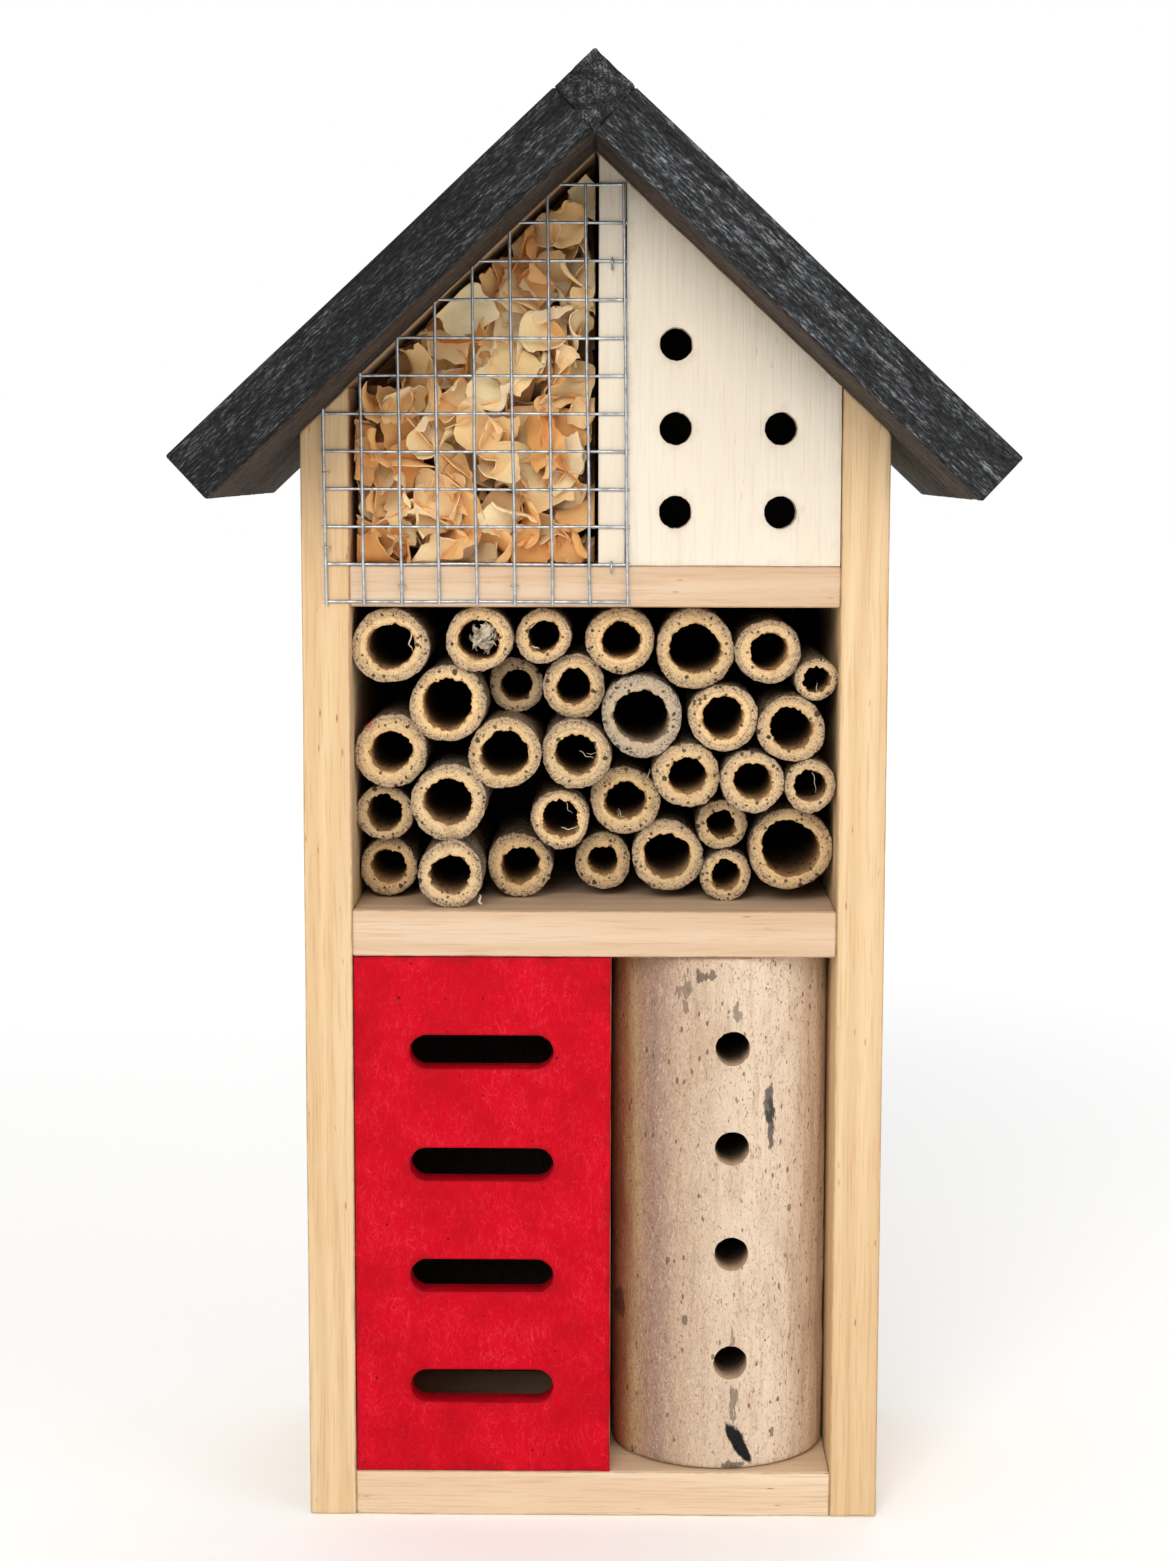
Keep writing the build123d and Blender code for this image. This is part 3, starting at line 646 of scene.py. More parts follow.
# ------------------------------------------------------------------ mesh helpers
def lattice_noise(points, seed):
    """Smooth noise from -1 to 1 at each point, with one unit from bump to bump."""
    cell = np.floor(points).astype(np.int64)
    part = points - cell
    ease = part * part * (3 - 2 * part)
    total = np.zeros(len(points))
    for corner in itertools.product((0, 1), repeat=3):
        at = cell + corner
        mixed = at[:, 0] * 73856093 ^ at[:, 1] * 19349663 ^ at[:, 2] * 83492791 ^ (seed * 2654435761)
        mixed = (mixed ^ (mixed >> 13)) * 1274126177 & 0x7FFFFFFF
        value = ((mixed ^ (mixed >> 15)) % 65536) / 32768 - 1
        total += value * np.prod(np.where(corner, ease, 1 - ease), axis=1)
    return total


def carry(mesh, label, numbers):
    """Gives a mesh a named value at each of its points."""
    layer = mesh.attributes.new(label, "FLOAT", "POINT")
    layer.data.foreach_set("value", np.asarray(numbers, np.float32))


def make_mesh(name, points, faces, values=None):
    """A mesh from arrays, with the named values that its points carry."""
    mesh = bpy.data.meshes.new(name)
    mesh.from_pydata([tuple(p) for p in points], [], [tuple(int(i) for i in f) for f in faces])
    for label, numbers in (values or {}).items():
        carry(mesh, label, numbers)
    mesh.update()
    return mesh


def add_piece(name, mesh, material, replaces=(), smooth_angle=None):
    """A finished piece at the origin, with its material, its body and the nodes that it stands for."""
    mesh.materials.clear()
    mesh.materials.append(material)
    if smooth_angle is not None:
        mesh.shade_smooth()
        mesh.set_sharp_from_angle(angle=math.radians(smooth_angle))
    piece = bpy.data.objects.new(name, mesh)
    bpy.context.scene.collection.objects.link(piece)
    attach(piece, BODY)
    if replaces:
        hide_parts(*replaces)
    return piece


def grid_lines(low, high, step, edge):
    """Places of the grid lines across a block: even in the middle and closer at both rounded edges."""
    near = np.array([0, 0.3, 1.0, 2.4]) * edge
    count = max(2, round((high - low - 2 * near[-1]) / step) + 1)
    middle = np.linspace(low + near[-1], high - near[-1], count)
    return np.concatenate([low + near[:-1], middle, high - near[:-1][::-1]])


def block(low, high, steps, edge):
    """A box with rounded edges: its points, outward directions, closeness to an edge, and faces."""
    low, high = np.array(low, float), np.array(high, float)
    lines = [grid_lines(low[a], high[a], steps[a], edge) for a in range(3)]
    counts = [len(line) for line in lines]
    number = -np.ones(counts, int)
    shell = np.zeros(counts, bool)
    for axis in range(3):
        ends = [slice(None)] * 3
        for end in (0, -1):
            ends[axis] = end
            shell[tuple(ends)] = True
    index = np.argwhere(shell)
    number[shell] = np.arange(len(index))
    points = np.stack([lines[a][index[:, a]] for a in range(3)], axis=1)
    inner = np.clip(points, low + edge, high - edge)
    away = points - inner
    outward = away / np.linalg.norm(away, axis=1, keepdims=True)
    points = inner + outward * edge
    near = (np.abs(outward) > 0.05).sum(axis=1) > 1
    faces = []
    for axis in range(3):
        first, second = (axis + 1) % 3, (axis + 2) % 3
        for end, flip in ((0, True), (counts[axis] - 1, False)):
            at = np.zeros(3, int)
            at[axis] = end
            for i in range(counts[first] - 1):
                for j in range(counts[second] - 1):
                    corners = []
                    for di, dj in ((0, 0), (1, 0), (1, 1), (0, 1)):
                        at[first], at[second] = i + di, j + dj
                        corners.append(number[tuple(at)])
                    faces.append(corners[::-1] if flip else corners)
    return points, outward, near.astype(float), np.array(faces)


def inside(loop, points):
    """Whether each point lies inside a closed loop."""
    x, z = points[:, 0, None], points[:, 1, None]
    x1, z1 = loop[:, 0], loop[:, 1]
    x2, z2 = np.roll(x1, -1), np.roll(z1, -1)
    spans = (z1 > z) != (z2 > z)
    with np.errstate(divide="ignore", invalid="ignore"):
        crossing = x < (x2 - x1) * (z - z1) / (z2 - z1) + x1
    return (spans & crossing).sum(axis=1) % 2 == 1


def gap(loop, points):
    """Distance from each point to the nearest point of a loop."""
    return np.linalg.norm(points[:, None] - loop[None], axis=2).min(axis=1)


def fill(loops, cell):
    """Flat points and triangles that fill the first loop and leave out the others. The points of
    the loops come first, in order, and the rest lie about one cell apart."""
    low, high = loops[0].min(axis=0), loops[0].max(axis=0)
    grid = [
        (x + cell * 0.3 * math.sin(z * 700), z + cell * 0.3 * math.cos(x * 900))
        for x in np.arange(low[0] + cell / 2, high[0], cell)
        for z in np.arange(low[1] + cell / 2, high[1], cell)
    ]
    grid = np.array(grid)
    clear = inside(loops[0], grid) & (gap(loops[0], grid) > cell * 0.5)
    for hole in loops[1:]:
        clear &= ~inside(hole, grid) & (gap(hole, grid) > cell * 0.5)
    flat = np.concatenate(list(loops) + [grid[clear]])
    borders = []
    start = 0
    for loop in loops:
        count = len(loop)
        borders += [(start + i, start + (i + 1) % count) for i in range(count)]
        start += count
    made = geometry.delaunay_2d_cdt([Vector(p) for p in flat], borders, [], 0, 1e-9)
    triangles = np.array([f for f in made[2] if len(f) == 3])
    centres = flat[triangles].mean(axis=1)
    keep = inside(loops[0], centres)
    for hole in loops[1:]:
        keep &= ~inside(hole, centres)
    triangles = triangles[keep]
    first, second, third = (flat[triangles[:, i]] for i in range(3))
    side, other = second - first, third - first
    turned = side[:, 0] * other[:, 1] - side[:, 1] * other[:, 0] < 0
    triangles[turned] = triangles[turned][:, ::-1]
    return flat, triangles


def stitch(rows):
    """The faces between closed rows of points, each row a list of point numbers."""
    faces = []
    for upper, lower in zip(rows[:-1], rows[1:]):
        for i in range(len(upper)):
            j = (i + 1) % len(upper)
            faces.append((upper[i], upper[j], lower[j], lower[i]))
    return faces


def plate(name, loops, y_front, y_back, edge, cell, relief=0.0, seed=0):
    """A flat piece in X and Z with holes and rounded rims. The first loop is its outline, and every
    loop runs with the material on its left."""
    rims = []
    for loop in loops:
        ahead = np.roll(loop, -1, axis=0) - np.roll(loop, 1, axis=0)
        inward = np.stack([-ahead[:, 1], ahead[:, 0]], axis=1)
        rims.append((loop, inward / np.linalg.norm(inward, axis=1, keepdims=True)))
    flat, triangles = fill([loop + inward * edge for loop, inward in rims], cell)
    rim_count = sum(len(loop) for loop in loops)
    ripple = relief * lattice_noise(np.column_stack([flat / (3 * MM), np.zeros(len(flat))]), seed)
    ripple[:rim_count] = 0.0
    points, faces, near, front = [], [], [], []
    for depth, away, order in ((y_front, 1, 1), (y_back, -1, -1)):
        base = len(points)
        front += [float(order > 0)] * len(flat)
        points += [(x, depth + away * abs(r), z) for (x, z), r in zip(flat, ripple)]
        near += [1.0] * rim_count + [0.0] * (len(flat) - rim_count)
        faces += [tuple(base + t[::order]) for t in triangles]
    start = 0
    for loop, inward in rims:
        count = len(loop)
        rows = [start + np.arange(count)]
        ring_places = ((y_front, 1, 0.3), (y_front, 1, 0.0), (y_back, -1, 0.0), (y_back, -1, 0.3))
        for depth, away, reach in ring_places:
            rows.append(len(points) + np.arange(count))
            placed = loop + inward * edge * reach
            points += [(x, depth + away * edge * (0.3 if reach else 1.0), z) for x, z in placed]
            near += [1.0] * count
            front += [float(away > 0)] * count
        rows.append(len(flat) + start + np.arange(count))
        faces += stitch(rows[::-1])
        start += count
    # front is 1 on the front face and its rim rows: the mask where the back's material lays painted shade
    return make_mesh(name, points, faces, {"edge": near, "front": front})


def outline_loop(corners, step, jitter, seed):
    """A closed outline through corners, with points every step, a little uneven like a sawn edge."""
    corners = np.array(corners, float)
    points = []
    for first, second in zip(corners, np.roll(corners, -1, axis=0)):
        count = max(2, round(np.linalg.norm(second - first) / step))
        points += [first + (second - first) * i / count for i in range(count)]
    points = np.array(points)
    shake = np.column_stack([points / (4 * MM), np.zeros(len(points))])
    return points + jitter * np.stack([lattice_noise(shake, seed), lattice_noise(shake, seed + 1)], axis=1)


def hole_loop(centre, half_length, radius, jitter, seed, count=56):
    """A round hole, or a slot with round ends, as a clockwise loop with a slightly torn rim."""
    angles = -math.tau * np.arange(count) / count
    circle = np.stack([np.cos(angles), np.sin(angles)], axis=1)
    torn = 1 + jitter * lattice_noise(np.column_stack([circle * 6, np.full(count, 0.5)]), seed)
    points = circle * radius * torn[:, None]
    points[:, 0] += np.where(circle[:, 0] >= 0, half_length, -half_length)
    return points + np.array(centre)


def tube(path, radii, sides=6):
    """A closed tube along a path: its points and faces."""
    path = np.array(path, float)
    ahead = np.gradient(path, axis=0)
    ahead /= np.linalg.norm(ahead, axis=1, keepdims=True)
    points, rows = [], []
    side = np.cross(ahead[0], (0.31, 0.87, 0.39))
    for place, direction, radius in zip(path, ahead, np.broadcast_to(radii, len(path))):
        side = side - direction * np.dot(side, direction)
        side /= np.linalg.norm(side)
        other = np.cross(direction, side)
        rows.append([len(points) + i for i in range(sides)])
        for i in range(sides):
            angle = math.tau * i / sides
            points.append(place + radius * (math.cos(angle) * side + math.sin(angle) * other))
    faces = [tuple(f) for f in stitch(rows)]
    return points, faces + [tuple(rows[0]), tuple(rows[-1][::-1])]


def lathe(profile, count):
    """A closed solid turned about Z from (radius, height) pairs that run from its top to its foot."""
    points, rows = [], []
    for radius, height in profile[1:-1]:
        rows.append([len(points) + i for i in range(count)])
        angles = [math.tau * i / count for i in range(count)]
        points += [(radius * math.cos(a), radius * math.sin(a), height) for a in angles]
    faces = stitch(rows[::-1])
    for row, (_, height), order in ((rows[0], profile[0], 1), (rows[-1], profile[-1], -1)):
        points.append((0, 0, height))
        tip = len(points) - 1
        for i in range(count):
            faces.append((row[i], row[(i + 1) % count], tip)[::order])
    return points, faces


# ------------------------------------------------------------------ geometry node groups
def new_geometry_group(name, inputs):
    """An empty geometry group with named inputs and one geometry output: its tree and its input sockets."""
    tree = bpy.data.node_groups.new(name, "GeometryNodeTree")
    tree.interface.new_socket(name="Geometry", in_out="OUTPUT", socket_type="NodeSocketGeometry")
    for label, kind in inputs:
        tree.interface.new_socket(name=label, in_out="INPUT", socket_type="NodeSocket" + kind)
    return tree, tree.nodes.new("NodeGroupInput").outputs


def finish_geometry_group(tree, shape, material):
    """The end of a group: its copies made real and its material set."""
    real = add(tree, "GeometryNodeRealizeInstances", {"Geometry": shape})
    coated = add(tree, "GeometryNodeSetMaterial", {"Geometry": real.outputs[0], "Material": material})
    add(tree, "NodeGroupOutput", {"Geometry": coated.outputs[0]})
    return tree


def make_copies_group():
    """Copies of templates on points. A point carries each copy's turn and size, and a seed varies them."""
    inputs = (
        ("Points", "Geometry"),
        ("Templates", "Collection"),
        ("Template Count", "Int"),
        ("Turn Jitter", "Float"),
        ("Size Jitter", "Float"),
        ("Seed", "Int"),
        ("Material", "Material"),
    )
    tree, given = new_geometry_group("Copies on points", inputs)
    kinds = add(tree, "GeometryNodeCollectionInfo", {"Collection": given["Templates"]})
    kinds.inputs["Separate Children"].default_value = True
    kinds.inputs["Reset Children"].default_value = True

    jitter = add(tree, "FunctionNodeRandomValue", {"Seed": given["Seed"]}, data_type="FLOAT_VECTOR")
    jitter.inputs[0].default_value = (-1, -1, -1)
    inputs = {0: jitter.outputs[0], "Scale": given["Turn Jitter"]}
    swing = add(tree, "ShaderNodeVectorMath", inputs, operation="SCALE")
    turn = add(tree, "GeometryNodeInputNamedAttribute", {"Name": "turn"}, data_type="FLOAT_VECTOR")
    whole = add(tree, "ShaderNodeVectorMath", {0: turn.outputs[0], 1: swing.outputs[0]}, operation="ADD")
    rotation = add(tree, "FunctionNodeEulerToRotation", {0: whole.outputs[0]})

    unit = add(tree, "FunctionNodeRandomValue", {"Seed": given["Seed"], 2: -1.0, 3: 1.0}, data_type="FLOAT")
    size = add(tree, "GeometryNodeInputNamedAttribute", {"Name": "size"}, data_type="FLOAT")
    change = times(tree, unit.outputs[1], given["Size Jitter"])
    scale = times(tree, size.outputs[0], plus(tree, change, 1.0))
    last = minus(tree, given["Template Count"], 1.0)
    pick = add(tree, "FunctionNodeRandomValue", {"Seed": given["Seed"], 4: 0, 5: last}, data_type="INT")
    tone = add(tree, "FunctionNodeRandomValue", {"Seed": given["Seed"], 2: 0.0, 3: 1.0}, data_type="FLOAT")
    copies = add(
        tree,
        "GeometryNodeInstanceOnPoints",
        {
            "Points": given["Points"],
            "Instance": kinds.outputs[0],
            "Pick Instance": True,
            "Instance Index": pick.outputs[2],
            "Rotation": rotation.outputs[0],
            "Scale": scale,
        },
    )
    stored = add(
        tree,
        "GeometryNodeStoreNamedAttribute",
        {"Geometry": copies.outputs[0], "Name": "tone", "Value": tone.outputs[1]},
        data_type="FLOAT",
        domain="INSTANCE",
    )
    return finish_geometry_group(tree, stored.outputs[0], given["Material"])


def make_wire_group():
    """Round wire along the edges of a mesh."""
    inputs = (("Paths", "Geometry"), ("Radius", "Float"), ("Sides", "Int"), ("Material", "Material"))
    tree, given = new_geometry_group("Round wire", inputs)
    curve = add(tree, "GeometryNodeMeshToCurve", {"Mesh": given["Paths"]})
    ring = {"Resolution": given["Sides"], "Radius": given["Radius"]}
    profile = add(tree, "GeometryNodeCurvePrimitiveCircle", ring).outputs[0]
    inputs = {"Curve": curve.outputs[0], "Profile Curve": profile, "Fill Caps": True}
    skin = add(tree, "GeometryNodeCurveToMesh", inputs)
    return finish_geometry_group(tree, skin.outputs[0], given["Material"])


COPIES = make_copies_group()
WIRE = make_wire_group()


def grow(name, mesh, group, settings):
    """What a geometry node group makes of a base mesh, as a plain mesh."""
    holder = bpy.data.objects.new(name + "_base", mesh)
    bpy.context.scene.collection.objects.link(holder)
    modifier = holder.modifiers.new("grow", "NODES")
    modifier.node_group = group
    sockets = {item.name: item.identifier for item in group.interface.items_tree if item.in_out == "INPUT"}
    for label, value in settings.items():
        modifier[sockets[label]] = value
    graph = bpy.context.evaluated_depsgraph_get()
    baked = bpy.data.meshes.new_from_object(
        holder.evaluated_get(graph), preserve_all_data_layers=True, depsgraph=graph
    )
    holder.modifiers.clear()
    bpy.data.objects.remove(holder)
    baked.name = name
    return baked


def copies(name, templates, places, turns, sizes, material, seed, turn_jitter=0.0, size_jitter=0.0):
    """Copies of the template meshes at places, as one plain mesh."""
    base = bpy.data.meshes.new(name + "_places")
    base.from_pydata([tuple(p) for p in places], [], [])
    layer = base.attributes.new("turn", "FLOAT_VECTOR", "POINT")
    layer.data.foreach_set("vector", np.ravel(turns).astype(np.float32))
    carry(base, "size", sizes)
    kinds = bpy.data.collections.new(name + "_templates")
    for template in templates:
        kinds.objects.link(bpy.data.objects.new(template.name, template))
    settings = {
        "Templates": kinds,
        "Template Count": len(templates),
        "Turn Jitter": turn_jitter,
        "Size Jitter": size_jitter,
        "Seed": seed,
        "Material": material,
    }
    baked = grow(name, base, COPIES, settings)
    for template in list(kinds.objects):
        bpy.data.objects.remove(template)
    bpy.data.collections.remove(kinds)
    return baked


def loose_parts(node):
    """The points of each separate copy in a node of the frame, such as each of its nails."""
    mesh = frame["nodes"][node].data
    points = np.array([v.co for v in mesh.vertices])
    same = np.unique(np.round(points, 6), axis=0, return_inverse=True)[1].ravel()
    ends = same[np.array([e.vertices[:] for e in mesh.edges])]
    label = np.arange(same.max() + 1)
    while True:
        before = label.copy()
        lowest = np.minimum(label[ends[:, 0]], label[ends[:, 1]])
        np.minimum.at(label, ends[:, 0], lowest)
        np.minimum.at(label, ends[:, 1], lowest)
        if (before == label).all():
            break
    return [points[label[same] == part] for part in np.unique(label)]


def head_places(node, right_way):
    """The middle of each fastener's head and the way that it faces, which is right_way on the right
    of the house and its mirror image on the left."""
    places, ways = [], []
    for part in loose_parts(node):
        way = np.array([math.copysign(right_way[0], part[:, 0].mean()), *right_way[1:]])
        height = part @ way
        top = part[height > height.max() - 0.02 * MM]
        places.append((top.min(axis=0) + top.max(axis=0)) / 2)
        ways.append(way)
    return places, ways


# ------------------------------------------------------------------ boards
def board(name, node, material, grain, seed, top=None, edge=0.45 * MM):
    """A sawn board with softened, lightly chipped edges. Top gives the height of a sloping upper end."""
    low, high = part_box(node)
    steps = [2.4 * MM] * 3
    steps[grain] = 4 * MM
    points, outward, near, faces = block(low, high, steps, edge)
    if top is not None:
        points[:, 2] = low.z + (points[:, 2] - low.z) * (top(points[:, 0]) - low.z) / (high.z - low.z)
    sizes = np.full(3, 2.4 * MM)
    sizes[grain] = 24 * MM
    push = 0.07 * MM * lattice_noise(points / sizes, seed)
    chips = np.clip(lattice_noise(points / (1.7 * MM), seed + 3) - 0.3, 0, None) * near
    points += outward * (push - 0.45 * MM * chips)[:, None]
    mesh = make_mesh(name, points, faces, {"edge": near})
    return add_piece(name, mesh, material, (node,), 42)


def make_boards():
    """The timber carcass: sides, floor, shelves, dividers and the back."""
    pale, deep = tint(243, 212, 167), tint(222, 180, 130)
    upright = timber("softwood_upright", GRAIN_UP, (0.013, 0.004, 0.0), pale, deep, 0.46, 1.0)
    pale, deep = tint(236, 209, 180), tint(214, 175, 136)
    level = timber("softwood_level", GRAIN_ACROSS, (0.0, 0.021, 0.0), pale, deep, 0.5, 1.0)
    pale, deep = tint(249, 224, 192), tint(230, 194, 154)
    base = timber("softwood_base", GRAIN_ACROSS, (0.0, 0.05, 0.0), pale, deep, 0.45, 0.9)
    pale, deep = tint(246, 233, 213), tint(232, 214, 184)
    thin = timber("thin_plywood", GRAIN_UP, (0.0, 0.008, 0.0), pale, deep, 0.12, 0.3, 0.14, 0.15)
    board("sawn_side_board_left", "side_board_left", upright, 2, 11, roof_underside)
    board("sawn_side_board_right", "side_board_right", upright, 2, 12, roof_underside)
    board("sawn_bottom_board", "bottom_board", base, 0, 13)
    board("sawn_middle_shelf", "middle_shelf", level, 0, 14)
    board("sawn_upper_shelf", "upper_shelf", level, 0, 15)
    board("sawn_lower_divider", "lower_divider", upright, 2, 16)
    board("sawn_upper_divider", "upper_divider", thin, 2, 17, roof_underside, 0.25 * MM)


# Places and sizes of the drilled holes, of the butterfly slots, and of the pocket behind the hanger
DRILLED_COLUMNS = (13.5 * MM, 31.2 * MM)
DRILLED_LOW = 175.5 * MM
DRILLED_PITCH = 14 * MM
DRILLED_RADIUS = 2.75 * MM
SLOT_X = -19.4 * MM
SLOT_LOW = 23.4 * MM
SLOT_PITCH = 19.8 * MM
SLOT_COUNT = 4
SLOT_HALF = 12.4 * MM
SLOT_RADIUS = 2.9 * MM
HANGER_Z = 203 * MM
POCKET_RADIUS = 6.5 * MM
POCKET_FLOOR = 1 * MM


def make_drilled_panel():
    """Pale plywood with two columns of round holes, its upper end cut to the roof slope."""
    pale, deep = tint(249, 237, 218), tint(238, 221, 194)
    ply = timber("pale_plywood", GRAIN_UP, (0.0, 0.03, 0.0), pale, deep, 0.12, 0.3, 0.12, 0.12)
    low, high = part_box("drilled_panel")
    gap_above = roof_underside(low.x) - high.z
    corners = [
        (low.x, low.z),
        (high.x, low.z),
        (high.x, roof_underside(high.x) - gap_above),
        (low.x, high.z),
    ]
    rows = (DRILLED_LOW, DRILLED_LOW + DRILLED_PITCH, DRILLED_LOW + 2 * DRILLED_PITCH)
    centres = [(DRILLED_COLUMNS[0], z) for z in rows] + [(DRILLED_COLUMNS[1], z) for z in rows[:2]]
    loops = [outline_loop(corners, 1.5 * MM, 0.05 * MM, 3)]
    loops += [hole_loop(c, 0, DRILLED_RADIUS, 0.035, 20 + i) for i, c in enumerate(centres)]
    mesh = plate("drilled_plywood", loops, low.y, high.y, 0.22 * MM, 2.6 * MM, 0.04 * MM, 5)
    add_piece("drilled_plywood", mesh, ply, ("drilled_panel",), 42)


def make_butterfly_panel():
    """Red fibreboard with a column of slots."""
    low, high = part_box("butterfly_panel")
    corners = [(low.x, low.z), (high.x, low.z), (high.x, high.z), (low.x, high.z)]
    loops = [outline_loop(corners, 1.5 * MM, 0.06 * MM, 7)]
    for i in range(SLOT_COUNT):
        centre = (SLOT_X, SLOT_LOW + i * SLOT_PITCH)
        loops.append(hole_loop(centre, SLOT_HALF - SLOT_RADIUS, SLOT_RADIUS, 0.03, 30 + i, 72))
    mesh = plate("slotted_fibreboard", loops, low.y, high.y, 0.3 * MM, 2.6 * MM, 0.06 * MM, 9)
    add_piece("slotted_fibreboard", mesh, red_paint(), ("butterfly_panel",), 42)


def make_back():
    """The plywood back, with a blind pocket behind the hanger for the wall screw's head."""
    low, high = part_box("back_panel")
    eave = roof_underside(high.x)
    corners = [(low.x, low.z), (high.x, low.z), (high.x, eave), (0, high.z), (low.x, eave)]
    loops = [outline_loop(corners, 2.2 * MM, 0.06 * MM, 41)]
    loops.append(hole_loop((0, HANGER_Z), 0, POCKET_RADIUS, 0.015, 43))
    mesh = plate("plywood_back", loops, low.y, high.y, 0.25 * MM, 5 * MM, 0.05 * MM, 44)
    # shaded is painted shade, laid on the back's front face, which looks into the rooms, and on the pocket
    # floor's front face
    pale, deep, shaded = tint(236, 214, 176), tint(214, 180, 134), tint(44, 36, 30)
    back = timber("back_plywood", GRAIN_UP, (0.02, 0.0, 0.0), pale, deep, 0.4, 0.5, 0.35, 0.2, shaded)
    add_piece("plywood_back", mesh, back, ("back_panel",), 42)
    disc = hole_loop((0, HANGER_Z), 0, POCKET_RADIUS + 0.3 * MM, 0.0, 0)[::-1]
    floor = plate("pocket_floor", [disc], low.y, low.y + POCKET_FLOOR, 0.1 * MM, 3 * MM)
    add_piece("pocket_floor", floor, back, (), 42)


# ------------------------------------------------------------------ roof
def roof_piece(name, node, side, material, seed):
    """A rough-sawn roof board: a rounded block laid along the slope, with its sawn grain raised."""
    length = (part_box("roof_board_right")[1].x - ROOF_TX) / math.cos(PITCH)
    steps = (0.9 * MM, 0.8 * MM, 0.4 * MM)
    top = (length, ROOF_REAR, ROOF_THICKNESS)
    points, outward, near, faces = block((0, ROOF_FRONT, 0), top, steps, 0.35 * MM)
    grain = np.array([16, 0.9, 0.9]) * MM
    coarse = np.array([40, 3.2, 3.2]) * MM
    raised = 0.6 * lattice_noise(points / grain, seed) + 0.4 * lattice_noise(points / coarse, seed + 1)
    across_end = np.abs(outward[:, 0])
    points = points + outward * (0.14 * MM * raised * (1 - across_end))[:, None]
    chips = np.clip(lattice_noise(points / (np.array([5, 1.4, 1.4]) * MM), seed + 2) - 0.35, 0, None) * near
    points -= outward * (0.7 * MM * chips)[:, None]
    below = np.clip(-outward[:, 2], 0, 1)
    indoors = (points[:, 1] > FRONT) & (points[:, 1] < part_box("back_panel")[1].y)
    under_room = points[:, 0] < INNER_HALF / math.cos(PITCH) + 1.5 * MM
    bare = (below > 0.9) & indoors & under_room
    turned = np.empty_like(points)
    turned[:, 0] = side * (points[:, 0] * math.cos(PITCH) + points[:, 2] * math.sin(PITCH))
    turned[:, 1] = points[:, 1]
    turned[:, 2] = RIDGE_UNDERSIDE - points[:, 0] * math.sin(PITCH) + points[:, 2] * math.cos(PITCH)
    if side > 0:
        faces = faces[:, ::-1]
    values = {"raised": raised, "brown": below * 0.85, "bare": bare.astype(float)}
    mesh = make_mesh(name, turned, faces, values)
    add_piece(name, mesh, material, (node,), 50)


def ridge_piece(material):
    """The four-sided ridge batten between the upper ends of the roof boards."""
    side = ROOF_THICKNESS
    steps = (0.5 * MM, 0.8 * MM, 0.5 * MM)
    points, outward, _, faces = block((0, ROOF_FRONT, 0), (side, ROOF_REAR, side), steps, 0.35 * MM)
    raised = lattice_noise(points / (np.array([1.0, 14, 1.0]) * MM), 71)
    points = points + outward * (0.12 * MM * raised * (1 - np.abs(outward[:, 1])))[:, None]
    corners = np.array(
        [
            (0, RIDGE_UNDERSIDE),
            (ROOF_TX, RIDGE_UNDERSIDE + ROOF_THICKNESS * math.cos(PITCH)),
            (0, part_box("ridge_batten")[1].z),
            (-ROOF_TX, RIDGE_UNDERSIDE + ROOF_THICKNESS * math.cos(PITCH)),
        ]
    )
    s, t = points[:, 0, None] / side, points[:, 2, None] / side
    lower = corners[0] * (1 - s) * (1 - t) + corners[1] * s * (1 - t)
    flat = lower + corners[2] * s * t + corners[3] * (1 - s) * t
    placed = np.column_stack([flat[:, 0], points[:, 1], flat[:, 1]])
    none = np.zeros(len(points))
    mesh = make_mesh("rough_ridge_batten", placed, faces, {"raised": raised, "brown": none, "bare": none})
    add_piece("rough_ridge_batten", mesh, material, ("ridge_batten",), 50)


def make_roof():
    """Two stained boards and the batten between them."""
    for side, hand, seed, lift in ((-1, "left", 61, 0.66), (1, "right", 65, 1.4)):
        stain = stained_roof(f"black_stain_{hand}", (0, math.pi / 2 - side * PITCH, 0), lift)
        roof_piece(f"rough_roof_board_{hand}", f"roof_board_{hand}", side, stain, seed)
    ridge_piece(stained_roof("black_stain_ridge", (math.pi / 2, 0, 0), 1.15))


# ------------------------------------------------------------------ canes
GREY_CANES = ("cane_22",)
RED_MARKED = ("cane_13",)
LINED_CANE = "cane_26"
LINING_COUNT = 24
